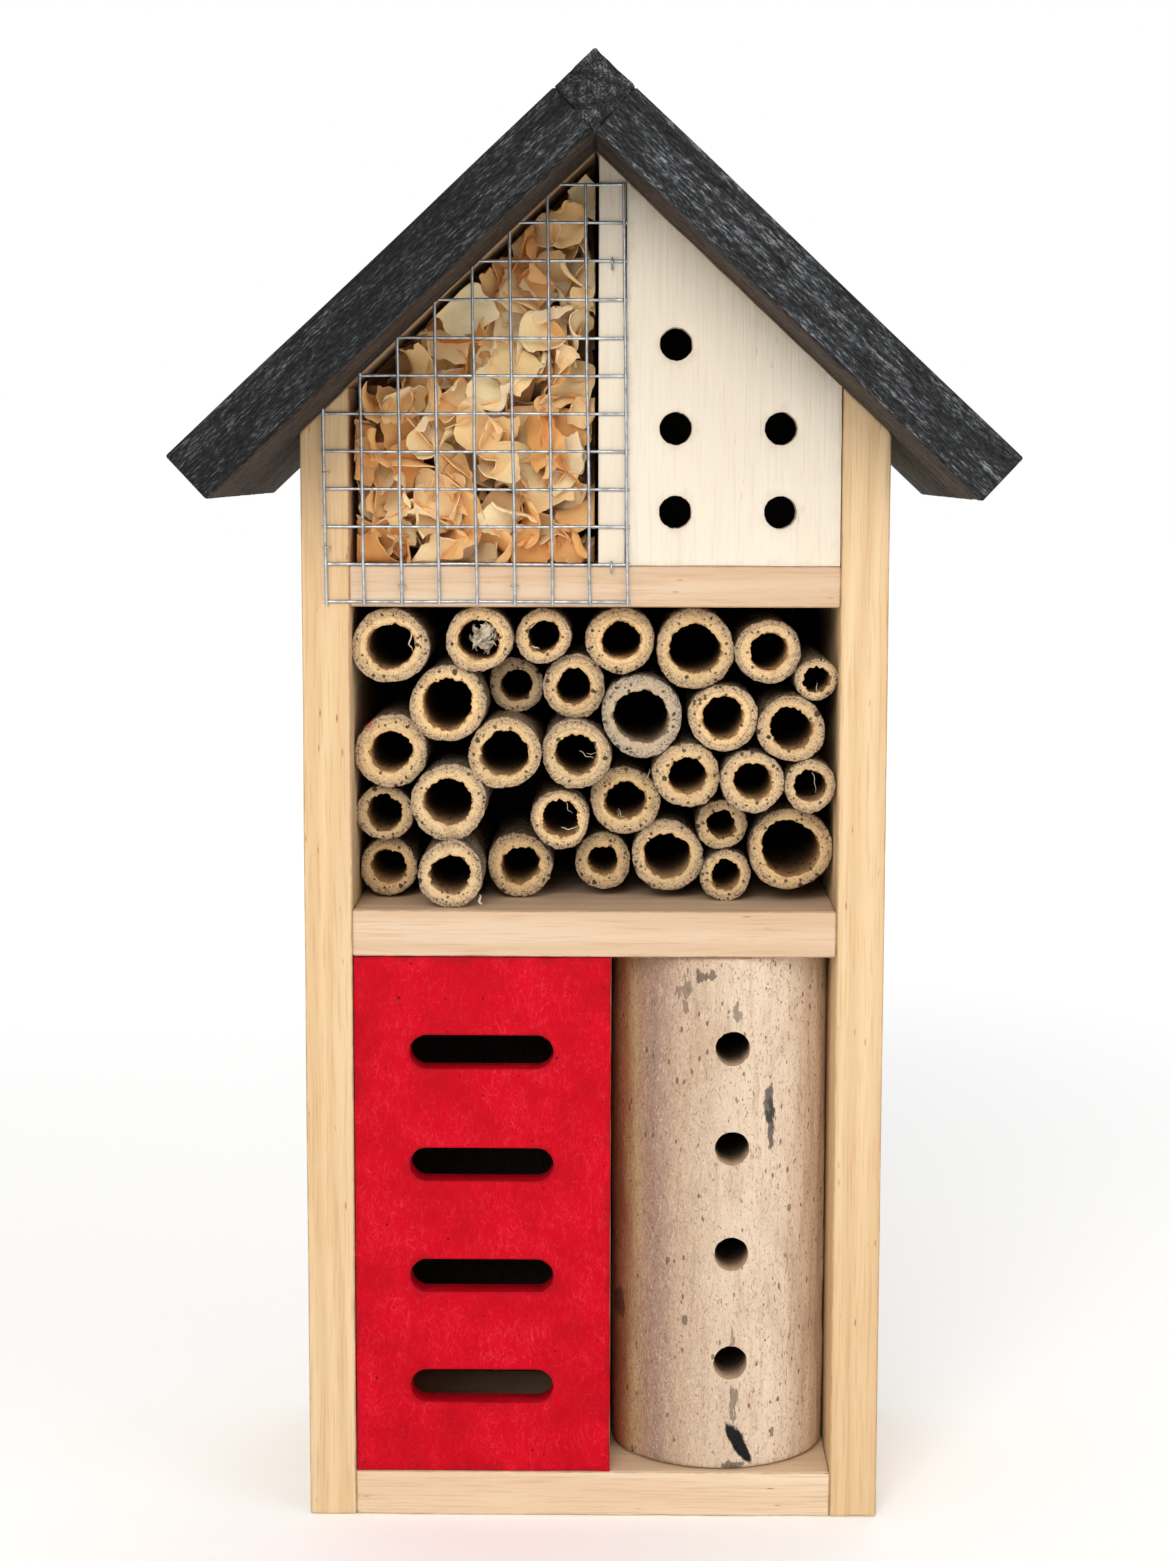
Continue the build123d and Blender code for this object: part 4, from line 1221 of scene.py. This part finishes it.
# Loose fibres: the cane, three points of a curve in bore radii from its centre, and thickness in mm
FIBRES = (
    ("cane_02", ((1.50, -1.62), (1.53, -1.35), (1.46, -1.10)), 0.26),
    ("cane_10", ((0.05, -0.50), (0.50, -0.56), (1.00, -0.40)), 0.10),
    ("cane_10", ((0.25, 0.95), (0.45, 0.50), (0.62, 0.25)), 0.05),
    ("cane_11", ((-0.35, -0.50), (-0.15, -0.78), (0.05, -1.00)), 0.05),
    ("cane_11", ((-0.40, -0.62), (-0.20, -0.72), (-0.28, -1.00)), 0.04),
    ("cane_11", ((1.22, 0.85), (1.20, 1.20), (1.24, 1.60)), 0.13),
    ("cane_15", ((0.15, 0.12), (0.55, -0.05), (0.82, -0.25)), 0.06),
    ("cane_15", ((0.50, -0.02), (0.75, 0.08), (1.02, 0.02)), 0.05),
    ("cane_18", ((0.10, 0.80), (0.42, 0.35), (0.30, -0.45)), 0.05),
    ("cane_25", ((0.92, 0.55), (0.80, 0.15), (0.95, -0.25)), 0.12),
    ("cane_27", ((-0.95, 0.45), (-0.62, 0.62), (-0.45, 0.85)), 0.12),
    ("cane_27", ((-0.75, -0.70), (-0.45, -0.55), (-0.30, -0.85)), 0.15),
    ("cane_31", ((0.00, -1.00), (0.06, -0.60), (0.00, -0.25)), 0.06),
)


def cane_sizes(node):
    """Centre, outer radius, bore radius, front and back of a cane, measured on its node."""
    low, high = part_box(node)
    centre = ((low.x + high.x) / 2, (low.z + high.z) / 2)
    points = np.array([v.co for v in frame["nodes"][node].data.vertices])
    away = np.hypot(points[:, 0] - centre[0], points[:, 2] - centre[1])
    return centre, (high.x - low.x) / 2, away.min(), low.y, high.y


def cane_mesh(node, number):
    """A sawn cane: out of round, with a torn bore, a rough end face, a worn shoulder and lumpy skin."""
    (cx, cz), outer, bore, front, back = cane_sizes(node)
    count = 84
    angles = math.tau * np.arange(count) / count
    ring = np.stack([np.cos(angles), np.sin(angles)], axis=1)
    wall = outer - bore
    shoulder = 0.055 * outer
    stations = [(bore, back - front, -1.0)]
    stations += [(bore, depth * MM, -1.0) for depth in (30, 16, 9, 5, 2.8, 1.5, 0.8)]
    stations += [(bore + 0.02 * wall, 0.25 * MM, -0.15)]
    face = (0.05, 0.16, 0.28, 0.4, 0.52, 0.64, 0.76, 0.86)
    stations += [(bore + share * (wall - shoulder), 0.0, share) for share in face]
    stations += [(outer - 0.55 * shoulder, 0.1 * shoulder, 0.93)]
    stations += [(outer - 0.15 * shoulder, 0.5 * shoulder, 1.02)]
    stations += [(outer, depth * MM, 1.1 + 0.02 * depth) for depth in (1.2, 2.2, 3.6, 6, 10, 18, 30)]
    stations += [(outer, back - front, 2.0)]
    turn = rng.uniform(0, math.tau, 4)
    lift = 0.024 * np.cos(2 * angles + turn[0]) + 0.018 * np.cos(3 * angles + turn[1])
    bore_lift = 0.035 * np.cos(2 * angles + turn[2]) + 0.025 * np.cos(3 * angles + turn[3])
    offset = rng.uniform(-0.05, 0.05, 2) * wall
    tilt = rng.uniform(-0.035, 0.035, 2)
    points, rows, across, deep = [], [], [], []
    for radius, depth, share in stations:
        flat = np.column_stack([ring * radius / (0.8 * MM), np.full(count, depth / (2.5 * MM))])
        fine = np.column_stack([ring * radius / (0.33 * MM), np.full(count, depth / (1.2 * MM))])
        rough = lattice_noise(flat, 100 + number)
        grit = lattice_noise(fine, 200 + number)
        inner = np.clip(1 - abs(share), 0, 1) if share >= 0 else 1.0
        r = radius * (1 + lift * (1 - inner) + bore_lift * inner)
        if share < 0:
            torn = max(0.25, 1 - depth / (4 * MM))
            r = r + (0.30 * rough + 0.24 * grit) * MM * torn
        elif share > 1:
            r = r + (0.16 * rough + 0.08 * grit + 0.05) * MM
        else:
            r = r + (0.30 * rough + 0.24 * grit) * MM * max(0, 1 - 3 * share)
        y = np.full(count, front + depth)
        if depth < 3 * MM:
            fade = 1 - depth / (3 * MM)
            y = y + fade * ((ring * r[:, None]) @ tilt)
            if share > -0.9:
                y = y + (0.14 * rough + 0.13 * grit) * MM
            y = y + max(0, 1 - 4 * abs(share)) * 0.25 * MM * np.clip(rough, 0, 1)
        shift = offset * inner
        rows.append([len(points) + i for i in range(count)])
        points += [(cx + shift[0] + a * q, w, cz + shift[1] + b * q) for (a, b), q, w in zip(ring, r, y)]
        across += [share] * count
        # deep grows with the depth down the bore: the mask for the painted shade inside it
        deep += [min(0.86, max(0.0, depth / (13 * MM))) if share < 0 else 0.0] * count
    points = np.array(points)
    points[:, 1] = np.maximum(points[:, 1], front - 0.45 * MM)
    faces = stitch(rows[::-1] + [rows[-1]])
    total = len(points)
    values = {"across": across, "deep": deep}
    values["tone"] = np.full(total, rng.uniform())
    values["grey"] = np.full(total, rng.uniform(0, 0.3))
    if node in GREY_CANES:
        values["grey"] = np.full(total, 1.0)
    spot = np.zeros(total)
    if node in RED_MARKED:
        place = np.array([cx - 0.62 * outer, cz + 0.76 * outer])
        spot = 0.8 * np.exp(-(np.linalg.norm(points[:, [0, 2]] - place, axis=1) / (0.9 * MM)) ** 2)
    values["red"] = spot
    return make_mesh(f"sawn_{node}", points, faces, values)


def make_canes():
    """All the canes, the loose fibres in their bores and the crumpled nest lining in one of them."""
    material = bamboo()
    fibre = pale_fibre()
    for number, node in enumerate(CANE_NODES):
        add_piece(f"sawn_{node}", cane_mesh(node, number), material, (node,), 55)
    points, faces = [], []
    for node, (start, middle, end), thick in FIBRES:
        (cx, cz), outer, bore, front, back = cane_sizes(node)
        start, middle, end = np.array(start), np.array(middle), np.array(end)
        path = []
        for share in np.linspace(0, 1, 9):
            spot = (1 - share) ** 2 * start + 2 * share * (1 - share) * middle + share**2 * end
            spot = spot + 0.05 * np.array([math.sin(9 * share), math.cos(7 * share)])
            y = front + (0.5 - 0.5 * math.sin(math.pi * share)) * MM
            path.append((cx + bore * spot[0], y, cz + bore * spot[1]))
        radii = thick * MM * np.array([0.6, 0.9, 1, 1, 0.95, 0.85, 0.7, 0.5, 0.3])
        more, added = tube(path, radii, 5)
        faces += [tuple(len(points) + i for i in f) for f in added]
        points += more
    mesh = make_mesh("loose_fibres", points, faces)
    add_piece("loose_fibres", mesh, fibre, (), 60)

    (cx, cz), outer, bore, front, back = cane_sizes(LINED_CANE)
    spread = (rng.uniform(-0.55, 0.55, (LINING_COUNT, 2)) + (0.2, 0.05)) * bore
    places = [(cx + a, front + rng.uniform(0.6, 3.4) * MM, cz + b) for a, b in spread]
    turns = rng.uniform(-1.5, 1.5, (LINING_COUNT, 3))
    templates = [shaving_template(f"lining_{i}") for i in range(3)]
    lining = copies("nest_lining", templates, places, turns, [0.17] * LINING_COUNT, fibre, 5, 1.0, 0.3)
    add_piece("nest_lining", lining, fibre, (), 50)


def pale_fibre():
    """Bleached plant fibre."""
    material, tree, shader, where = new_material("pale_fibre", 0.8)
    cloud = noise(tree, where, 0.8 * MM, 3.0)
    tree.links.new(blend(tree, cloud, tint(238, 228, 208), tint(188, 170, 142)), shader["Base Color"])
    return material


# ------------------------------------------------------------------ log
# The log's holes: their column, radius, depth and heights
LOG_HOLE_X = 24 * MM
LOG_HOLE_RADIUS = 3 * MM
LOG_HOLE_DEPTH = 28 * MM
LOG_HOLES = (27.4 * MM, 46.9 * MM, 65.7 * MM, 83.3 * MM)
# Painted shade on a log hole's wall: how dark it is at each depth in mm, the last at its foot
LOG_HOLE_SHADE = ((0.5, 0.0), (1.5, 0.08), (3, 0.3), (5, 0.7), (8, 0.92), (14, 0.95), (None, 0.95))


def make_log():
    """The peeled log: lumpy and streaked along its length, with four blind holes bored from the front."""
    low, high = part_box("log_block")
    cx, cy = (low.x + high.x) / 2, (low.y + high.y) / 2
    radius = (high.x - low.x) / 2
    half = math.pi * radius
    edge = 0.6 * MM
    corners = [(-half, low.z + edge), (half, low.z + edge), (half, high.z - edge), (-half, high.z - edge)]
    loops = [outline_loop(corners, 1.1 * MM, 0.0, 0)]
    for number, z in enumerate(LOG_HOLES):
        ring = hole_loop((LOG_HOLE_X - cx, z), 0, LOG_HOLE_RADIUS, 0.04, 80 + number, 44)
        ring[:, 0] = radius * np.arcsin(ring[:, 0] / radius)
        loops.append(ring)
    flat, triangles = fill(loops, 1.0 * MM)
    angle = flat[:, 0] / radius
    ring = np.column_stack([np.sin(angle), -np.cos(angle)])
    base = np.column_stack([ring * radius, flat[:, 1]])
    lumps = lattice_noise(base / (np.array([11, 11, 34]) * MM), 91)
    strips = lattice_noise(base / (np.array([1.7, 1.7, 15]) * MM), 92)
    pits = np.clip(lattice_noise(base / (np.array([2.6, 2.6, 6]) * MM), 93) - 0.45, 0, None)
    reach = radius + (0.22 * lumps - 0.12 + 0.13 * strips - 0.5 * pits) * MM
    points = [(cx + reach[i] * ring[i, 0], cy + reach[i] * ring[i, 1], flat[i, 1]) for i in range(len(flat))]
    faces = [tuple(t) for t in triangles]
    hollow = [0.0] * len(points)
    deep = [0.0] * len(points)
    start = len(loops[0])
    bottom_y = FRONT + LOG_HOLE_DEPTH
    for loop in loops[1:]:
        count = len(loop)
        rows = [start + np.arange(count)]
        rim = np.array([points[i] for i in rows[0]])
        for depth, shade in LOG_HOLE_SHADE:
            rows.append(len(points) + np.arange(count))
            ring_y = rim[:, 1] + depth * MM if depth else np.full(count, bottom_y)
            points += [(x, y, z) for (x, _, z), y in zip(rim, ring_y)]
            hollow += [1.0] * count
            deep += [shade] * count
        faces += stitch(rows[::-1])
        tip = len(points)
        points.append((rim[:, 0].mean(), bottom_y + 1.5 * MM, rim[:, 2].mean()))
        hollow.append(1.0)
        deep.append(0.95)
        faces += [(rows[-1][i], rows[-1][(i + 1) % count], tip)[::-1] for i in range(count)]
        start += count
    outline = loops[0]
    for z_rim, z_end, order in ((low.z + edge, low.z, 1), (high.z - edge, high.z, -1)):
        level = np.abs(outline[:, 1] - z_rim) < 0.1 * edge
        on_rim = np.flatnonzero(level & (outline[:, 0] < half - 0.1 * edge))
        on_rim = list(on_rim[np.argsort(outline[on_rim, 0], kind="stable")])
        rows = [on_rim]
        for inset, share in ((0.5, 0.6), (1.2, 1.0), (7, 1.0), (13, 1.0)):
            rows.append([len(points) + i for i in range(len(on_rim))])
            for i in on_rim:
                shrink = 1 - inset * MM / reach[i]
                z = z_rim + (z_end - z_rim) * share
                points.append((cx + (points[i][0] - cx) * shrink, cy + (points[i][1] - cy) * shrink, z))
                hollow.append(0.0)
        tip = len(points)
        points.append((cx, cy, z_end))
        hollow.append(0.0)
        inner = rows[-1]
        cap = stitch(rows[::-1]) + [(tip, b, a) for a, b in zip(inner, inner[1:] + inner[:1])]
        faces += [f[::order] for f in cap]
    deep += [0.0] * (len(points) - len(deep))
    mesh = make_mesh("lumpy_log", points, faces, {"hollow": hollow, "deep": deep})
    work = bmesh.new()
    work.from_mesh(mesh)
    bmesh.ops.remove_doubles(work, verts=work.verts, dist=1e-6)
    work.to_mesh(mesh)
    work.free()
    add_piece("lumpy_log", mesh, peeled_log(), ("log_block",), 55)


# ------------------------------------------------------------------ shavings
def shaving_template(name):
    """A thin curled shaving with torn ends and ruffled sides: a closed sheet mapped by length and width."""
    length = rng.uniform(9, 16) * MM
    width = rng.uniform(6.0, 10.0) * MM
    curl = length / rng.uniform(0.4, 3.6)
    twist = rng.uniform(-0.8, 0.8)
    crease = rng.uniform(-0.3, 0.3)
    fold = rng.uniform(-0.9, 0.9)
    slant = rng.uniform(-0.45, 0.45)
    taper = rng.uniform(-0.5, 0.5)
    seed = int(rng.integers(1000))
    rows, columns = 17, 10
    s, t = np.meshgrid(np.linspace(-0.5, 0.5, rows), np.linspace(-0.5, 0.5, columns), indexing="ij")
    zero = np.zeros(s.size)
    torn, frayed, wave, ripple = (
        lattice_noise(np.column_stack([first.ravel(), second.ravel(), zero]), seed + i).reshape(s.shape)
        for i, (first, second) in enumerate(
            ((t * 9, (s > 0) * 7.0), (s * 8, (t > 0) * 9.0), (s * 3.4, t * 2.6), (s * 9, t * 6))
        )
    )
    along = s * length * (1 + 0.16 * torn) + slant * t * width
    across = t * width * (1 + taper * s) * (1 - 0.22 * np.abs(2 * s) ** 6) * (1 + 0.13 * frayed)
    radius = curl * (1 + 0.35 * s)
    angle = along / radius
    middle = np.stack([radius * np.sin(angle), np.zeros_like(s), radius * (1 - np.cos(angle))], axis=2)
    lean = twist * 2 * s
    flat_way = np.stack([np.zeros_like(s), np.cos(lean), np.zeros_like(s)], axis=2)
    up_way = np.stack([-np.sin(angle), np.zeros_like(s), np.cos(angle)], axis=2)
    side_way = flat_way + up_way * np.sin(lean)[..., None]
    folded = fold * np.clip(t - crease, 0, None) * width
    rise = folded + (0.7 * wave + 0.10 * ripple) * MM
    sheet = middle + side_way * across[..., None] + up_way * rise[..., None]
    normal = np.cross(np.gradient(sheet, axis=0), np.gradient(sheet, axis=1))
    normal /= np.linalg.norm(normal, axis=2, keepdims=True)
    half = 0.085 * MM
    points = np.concatenate([(sheet + normal * half).reshape(-1, 3), (sheet - normal * half).reshape(-1, 3)])
    number = np.arange(rows * columns).reshape(rows, columns)
    under = number + rows * columns
    faces = []
    for i in range(rows - 1):
        for j in range(columns - 1):
            faces.append((number[i, j], number[i + 1, j], number[i + 1, j + 1], number[i, j + 1]))
            faces.append((under[i, j], under[i, j + 1], under[i + 1, j + 1], under[i + 1, j]))
    border = list(number[:, 0]) + list(number[-1, 1:]) + list(number[-2::-1, -1]) + list(number[0, -2:0:-1])
    for first, second in zip(border, border[1:] + border[:1]):
        faces.append((second, first, first + rows * columns, second + rows * columns))
    mesh = make_mesh(name, points, faces)
    uv = np.column_stack([np.tile(s.ravel() + 0.5, 2), np.tile(t.ravel() + 0.5, 2)])
    layer = mesh.uv_layers.new(name="UVMap")
    corners = np.array([loop.vertex_index for loop in mesh.loops])
    layer.data.foreach_set("uv", uv[corners].ravel().astype(np.float32))
    return mesh


def make_shavings():
    """Layers of curled shavings that fill the room under the left slope and press against the mesh."""
    low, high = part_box("wood_shavings")
    places, turns, sizes = [], [], []
    layers = ((1.8, 5.8, 0.85), (4.2, 5.6, 0.95), (7.2, 5.8, 1.2), (11, 7.0, 1.4))
    for depth, spacing, lean in layers:
        y = low.y + depth * MM
        across = np.arange(low.x + 2.4 * MM, high.x - 1 * MM, spacing * MM)
        for x, z in itertools.product(across, np.arange(low.z + 3.2 * MM, roof_underside(0), spacing * MM)):
            spot = np.array([x, y, z]) + rng.uniform(-0.4, 0.4, 3) * np.array([spacing, 3.0, spacing]) * MM
            if spot[2] > roof_underside(spot[0]) - 3 * MM or spot[0] > high.x - 0.8 * MM:
                continue
            places.append(spot)
            tip = math.pi / 2 + rng.normal(0, 0.5 * lean)
            turns.append((tip, rng.uniform(-math.pi, math.pi), rng.normal(0, 0.55 * lean)))
            sizes.append(rng.uniform(0.55, 1.05))
    templates = [shaving_template(f"shaving_{i}") for i in range(18)]
    material = shaving_wood()
    mesh = copies("curled_shavings", templates, places, turns, sizes, material, 3, 0.35, 0.15)
    points = np.empty(len(mesh.vertices) * 3, np.float32)
    mesh.vertices.foreach_get("co", points)
    points = points.reshape(-1, 3).astype(float)
    walls = [(0, low.x + 0.5 * MM, 1), (0, high.x - 0.2 * MM, -1)]
    walls += [(1, FRONT + 0.3 * MM, 1), (2, low.z - 0.1 * MM, 1)]
    for axis, limit, way in walls:
        beyond = way * (points[:, axis] - limit)
        points[:, axis] = np.where(beyond < 0, limit + way * 0.12 * np.abs(beyond), points[:, axis])
    above = points[:, 2] - (roof_underside(points[:, 0]) - 1.7 * MM)
    points[:, 2] -= np.where(above > 0, above * 1.12, 0)
    mesh.vertices.foreach_set("co", points.ravel().astype(np.float32))
    # deep is painted shade that darkens the shavings the further they lie behind the mesh
    carry(mesh, "deep", np.clip((points[:, 1] - low.y - 2.5 * MM) / (7.5 * MM), 0, 0.85))
    mesh.update()
    add_piece("curled_shavings", mesh, material, ("wood_shavings",), 50)

    steps = (1.6 * MM, 2.4 * MM, 1.6 * MM)
    bed_low = (low.x, low.y + 12 * MM, low.z)
    points, outward, _, faces = block(bed_low, (high.x, high.y, high.z), steps, 1 * MM)
    points[:, 2] = low.z + (points[:, 2] - low.z) * (roof_underside(points[:, 0]) - low.z) / (high.z - low.z)
    points += outward * ((lattice_noise(points / (3 * MM), 55) - 1.1) * 0.5 * MM)[:, None]
    tones = 0.5 + 0.5 * lattice_noise(points / (3 * MM), 56)
    # The bed is painted dark all over, with deep at 0.9, as painted shade behind the loose shavings
    bed = make_mesh("shavings_bed", points, faces, {"tone": tones, "deep": np.full(len(points), 0.9)})
    bed.uv_layers.new(name="UVMap")
    add_piece("shavings_bed", bed, material, (), 30)


# ------------------------------------------------------------------ wire mesh and metal fittings
# The welded mesh, how far its wire ends pass the outer wires, and how far its top leans to the left
MESH_COLUMNS = 9
MESH_ROWS = 12
COLUMN_PITCH = 6.35 * MM
ROW_PITCH = 6.3 * MM
WIRE_RADIUS = 0.26 * MM
WIRE_END = 0.5 * MM
ROOF_CLEARANCE = 0.4 * MM
MESH_LEAN = 0.9 * MM


def wavy(start, end, seed):
    """Points along a wire from start to end that wander a little to both sides, and never at its ends."""
    start, end = np.array(start), np.array(end)
    count = max(3, round(np.linalg.norm(end - start) / (1.4 * MM)))
    share = np.linspace(0, 1, count)[:, None]
    path = start + (end - start) * share
    free = np.sin(math.pi * share[:, 0]) ** 0.3
    for axis, reach in enumerate((0.16, 0.05, 0.16)):
        if abs((end - start)[axis]) < 1 * MM:
            path[:, axis] += reach * MM * lattice_noise(path / (11 * MM), seed + axis) * free
    return path


def make_wire_mesh():
    """Welded mesh with slightly wavy wires, a weld at each crossing and bent ends under the roof."""
    low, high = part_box("wire_mesh")
    left, bottom = low.x + WIRE_END, low.z + WIRE_END
    middle_y = (low.y + high.y) / 2
    level_y, upright_y = middle_y + 0.9 * WIRE_RADIUS, middle_y - 0.9 * WIRE_RADIUS
    rows = [bottom + i * ROW_PITCH for i in range(MESH_ROWS)]
    columns = [left + i * COLUMN_PITCH for i in range(MESH_COLUMNS)]
    ends = []
    for z in rows:
        reach = (RIDGE_UNDERSIDE - ROOF_CLEARANCE - z) / SLOPE - WIRE_RADIUS
        ends.append((max(-reach, left - WIRE_END), min(reach, columns[-1] + WIRE_END)))
    paths, welds = [], []
    for number, (z, (start, end)) in enumerate(zip(rows, ends)):
        paths.append(wavy((start, level_y, z), (end, level_y, z), 300 + number))
    for number, x in enumerate(columns):
        under_roof = roof_underside(x) - ROOF_CLEARANCE
        top = min(under_roof, rows[-1] + WIRE_END)
        path = wavy((x, upright_y, bottom - WIRE_END), (x, upright_y, top - 0.3 * MM), 400 + number)
        above = [(z, start) for z, (start, end) in zip(rows, ends) if z > top and 0 < start - x < 3.6 * MM]
        if above:
            z, start = above[0]
            bend = [(x + 0.25 * MM, upright_y, top + 0.15 * MM), (start + 0.2 * MM, level_y - 0.15 * MM, z)]
            path = np.concatenate([path, bend])
        paths.append(path)
        for z, (start, end) in zip(rows, ends):
            if start - 0.1 * MM < x < end + 0.1 * MM and z < top + 0.1 * MM:
                welds.append((x, (level_y + upright_y) / 2, z))
    points = np.concatenate(paths)
    welds = np.array(welds)
    for leaning in (points, welds):
        rise = (leaning[:, 2] - bottom) / (rows[-1] - bottom)
        leaning[:, 0] -= MESH_LEAN * rise
        leaning[:, 2] += MESH_LEAN * 0.4
    edges, start = [], 0
    for path in paths:
        edges += [(start + i, start + i + 1) for i in range(len(path) - 1)]
        start += len(path)
    base = bpy.data.meshes.new("wire_paths")
    base.from_pydata([tuple(p) for p in points], edges, [])
    zinc = galvanised("galvanised_wire", tint(206, 212, 217), 0.34, 0.55)
    wires = grow("welded_wires", base, WIRE, {"Radius": WIRE_RADIUS, "Sides": 10, "Material": zinc})
    add_piece("welded_wires", wires, zinc, ("wire_mesh",), 50)
    profile = [(0, 0.42), (0.15, 0.39), (0.28, 0.26), (0.34, 0.0), (0.28, -0.26), (0.15, -0.39), (0, -0.42)]
    drop = make_mesh("weld", *lathe([(r * MM, h * MM) for r, h in profile], 8))
    turns = [(0, 0, 0)] * len(welds)
    blobs = copies("mesh_welds", [drop], welds, turns, [1.0] * len(welds), zinc, 8, 0.3, 0.15)
    add_piece("mesh_welds", blobs, zinc, (), 60)

    places, _ = head_places("mesh_staples", (0, -1, 0))
    turns, sizes = [], []
    for part in loose_parts("mesh_staples"):
        size = part.max(axis=0) - part.min(axis=0)
        level = size[0] > size[2]
        turns.append((0, 0 if level else math.pi / 2, 0))
        sizes.append(0.55 if level else 0.85)
    thick = size.min() / 2
    half, leg = max(size[0], size[2]) / 2 - thick, size[1] - thick
    path = [(-half, leg, 0), (-half, 1.2 * MM, 0), (-half, 0.6 * MM, 0), (-half + 0.25 * MM, thick, 0)]
    path += [(0, thick * 0.8, 0)] + [(-x, y, z) for x, y, z in path[::-1]]
    staple = make_mesh("staple", *tube(path, thick, 8))
    pins = copies("wire_staples", [staple], places, turns, sizes, zinc, 9)
    add_piece("wire_staples", pins, zinc, ("mesh_staples",), 50)


# Head radius, shank radius and length of each kind of fastener, in mm
NAIL = (1.5, 0.7, 20)
BACK_NAIL = (1.5, 0.7, 14)
ROOF_NAIL = (1.5, 0.7, 13)
SCREW = (2.3, 1.2, 4.8)


def fastener(name, head, shank, length, slot):
    """A nail or screw that points down, with a slightly domed head whose rim is at the origin."""
    profile = [
        (0, 0.10),
        (0.45 * head, 0.09),
        (0.82 * head, 0.04),
        (0.96 * head, -0.06),
        (head, -0.2),
        (0.97 * head, -0.34),
        (shank * 1.15, -0.75),
        (shank, -1.1),
        (shank, -length + 1.2),
        (0, -length),
    ]
    points, faces = lathe([(r * MM, h * MM) for r, h in profile], 20)
    points = np.array(points)
    if slot:
        in_slot = (np.abs(points[:, 0]) < 0.35 * head * MM) & (points[:, 2] > 0)
        points[in_slot, 2] -= 0.25 * MM
    return make_mesh(name, points, faces)


def make_fasteners(steel):
    """Nails and screws with domed heads, each turned the way that its head faces."""
    up = Vector((0, 0, 1))
    roof_way = (math.sin(PITCH), 0, math.cos(PITCH))
    for name, way, (head, shank, length), slot in (
        ("side_nail", (1, 0, 0), NAIL, False),
        ("roof_nail", roof_way, ROOF_NAIL, False),
        ("back_nail", (0, 1, 0), BACK_NAIL, False),
        ("log_nail", (0, 0, -1), NAIL, False),
        ("hanger_screw", (0, 1, 0), SCREW, True),
    ):
        node = name + "s"
        places, ways = head_places(node, way)
        turns = [up.rotation_difference(Vector(way)).to_euler() for way in ways]
        template = fastener(name, head, shank, length, slot)
        mesh = copies("domed_" + node, [template], places, turns, [1.0] * len(places), steel, 12)
        add_piece("domed_" + node, mesh, steel, (node,), 40)


# The keyhole: how far its round part lies below the plate's middle, its radius, and its slot
KEY_DROP = 2 * MM
KEY_RADIUS = 4 * MM
KEY_SLOT_HALF = 2.1 * MM
KEY_SLOT_TOP = 4 * MM


def make_hanger(steel):
    """The stamped plate on the back, with a keyhole whose slot points up."""
    low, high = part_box("hanger_plate")
    middle = (low.z + high.z) / 2
    radius = (high.z - low.z) / 2
    reach = (high.x - low.x) / 2 - radius
    outline = hole_loop((0, middle), reach, radius, 0.0, 0, 72)[::-1]
    key_z = middle - KEY_DROP
    slot_angle = math.asin(KEY_SLOT_HALF / KEY_RADIUS)
    angles = np.linspace(math.pi / 2 - slot_angle, -3 * math.pi / 2 + slot_angle, 40)
    key = [(KEY_RADIUS * math.cos(a), key_z + KEY_RADIUS * math.sin(a)) for a in angles]
    slot_top = middle + KEY_SLOT_TOP
    key += [(-KEY_SLOT_HALF, z) for z in np.linspace(key[-1][1] + 0.4 * MM, slot_top - 0.4 * MM, 4)]
    key += [(x, slot_top) for x in np.linspace(-KEY_SLOT_HALF + 0.5 * MM, KEY_SLOT_HALF - 0.5 * MM, 5)]
    key += [(KEY_SLOT_HALF, z) for z in np.linspace(slot_top - 0.4 * MM, key[0][1] + 0.4 * MM, 4)]
    mesh = plate("stamped_hanger", [outline, np.array(key)], low.y, high.y, 0.15 * MM, 1.4 * MM)
    add_piece("stamped_hanger", mesh, steel, ("hanger_plate",), 42)


# ------------------------------------------------------------------ the whole house
make_camera()
make_studio()
make_boards()
make_drilled_panel()
make_butterfly_panel()
make_back()
make_roof()
make_canes()
make_log()
make_shavings()
make_wire_mesh()
nail_steel = galvanised("nail_steel", tint(150, 150, 150), 0.35, 0.6)
make_fasteners(nail_steel)
make_hanger(nail_steel)
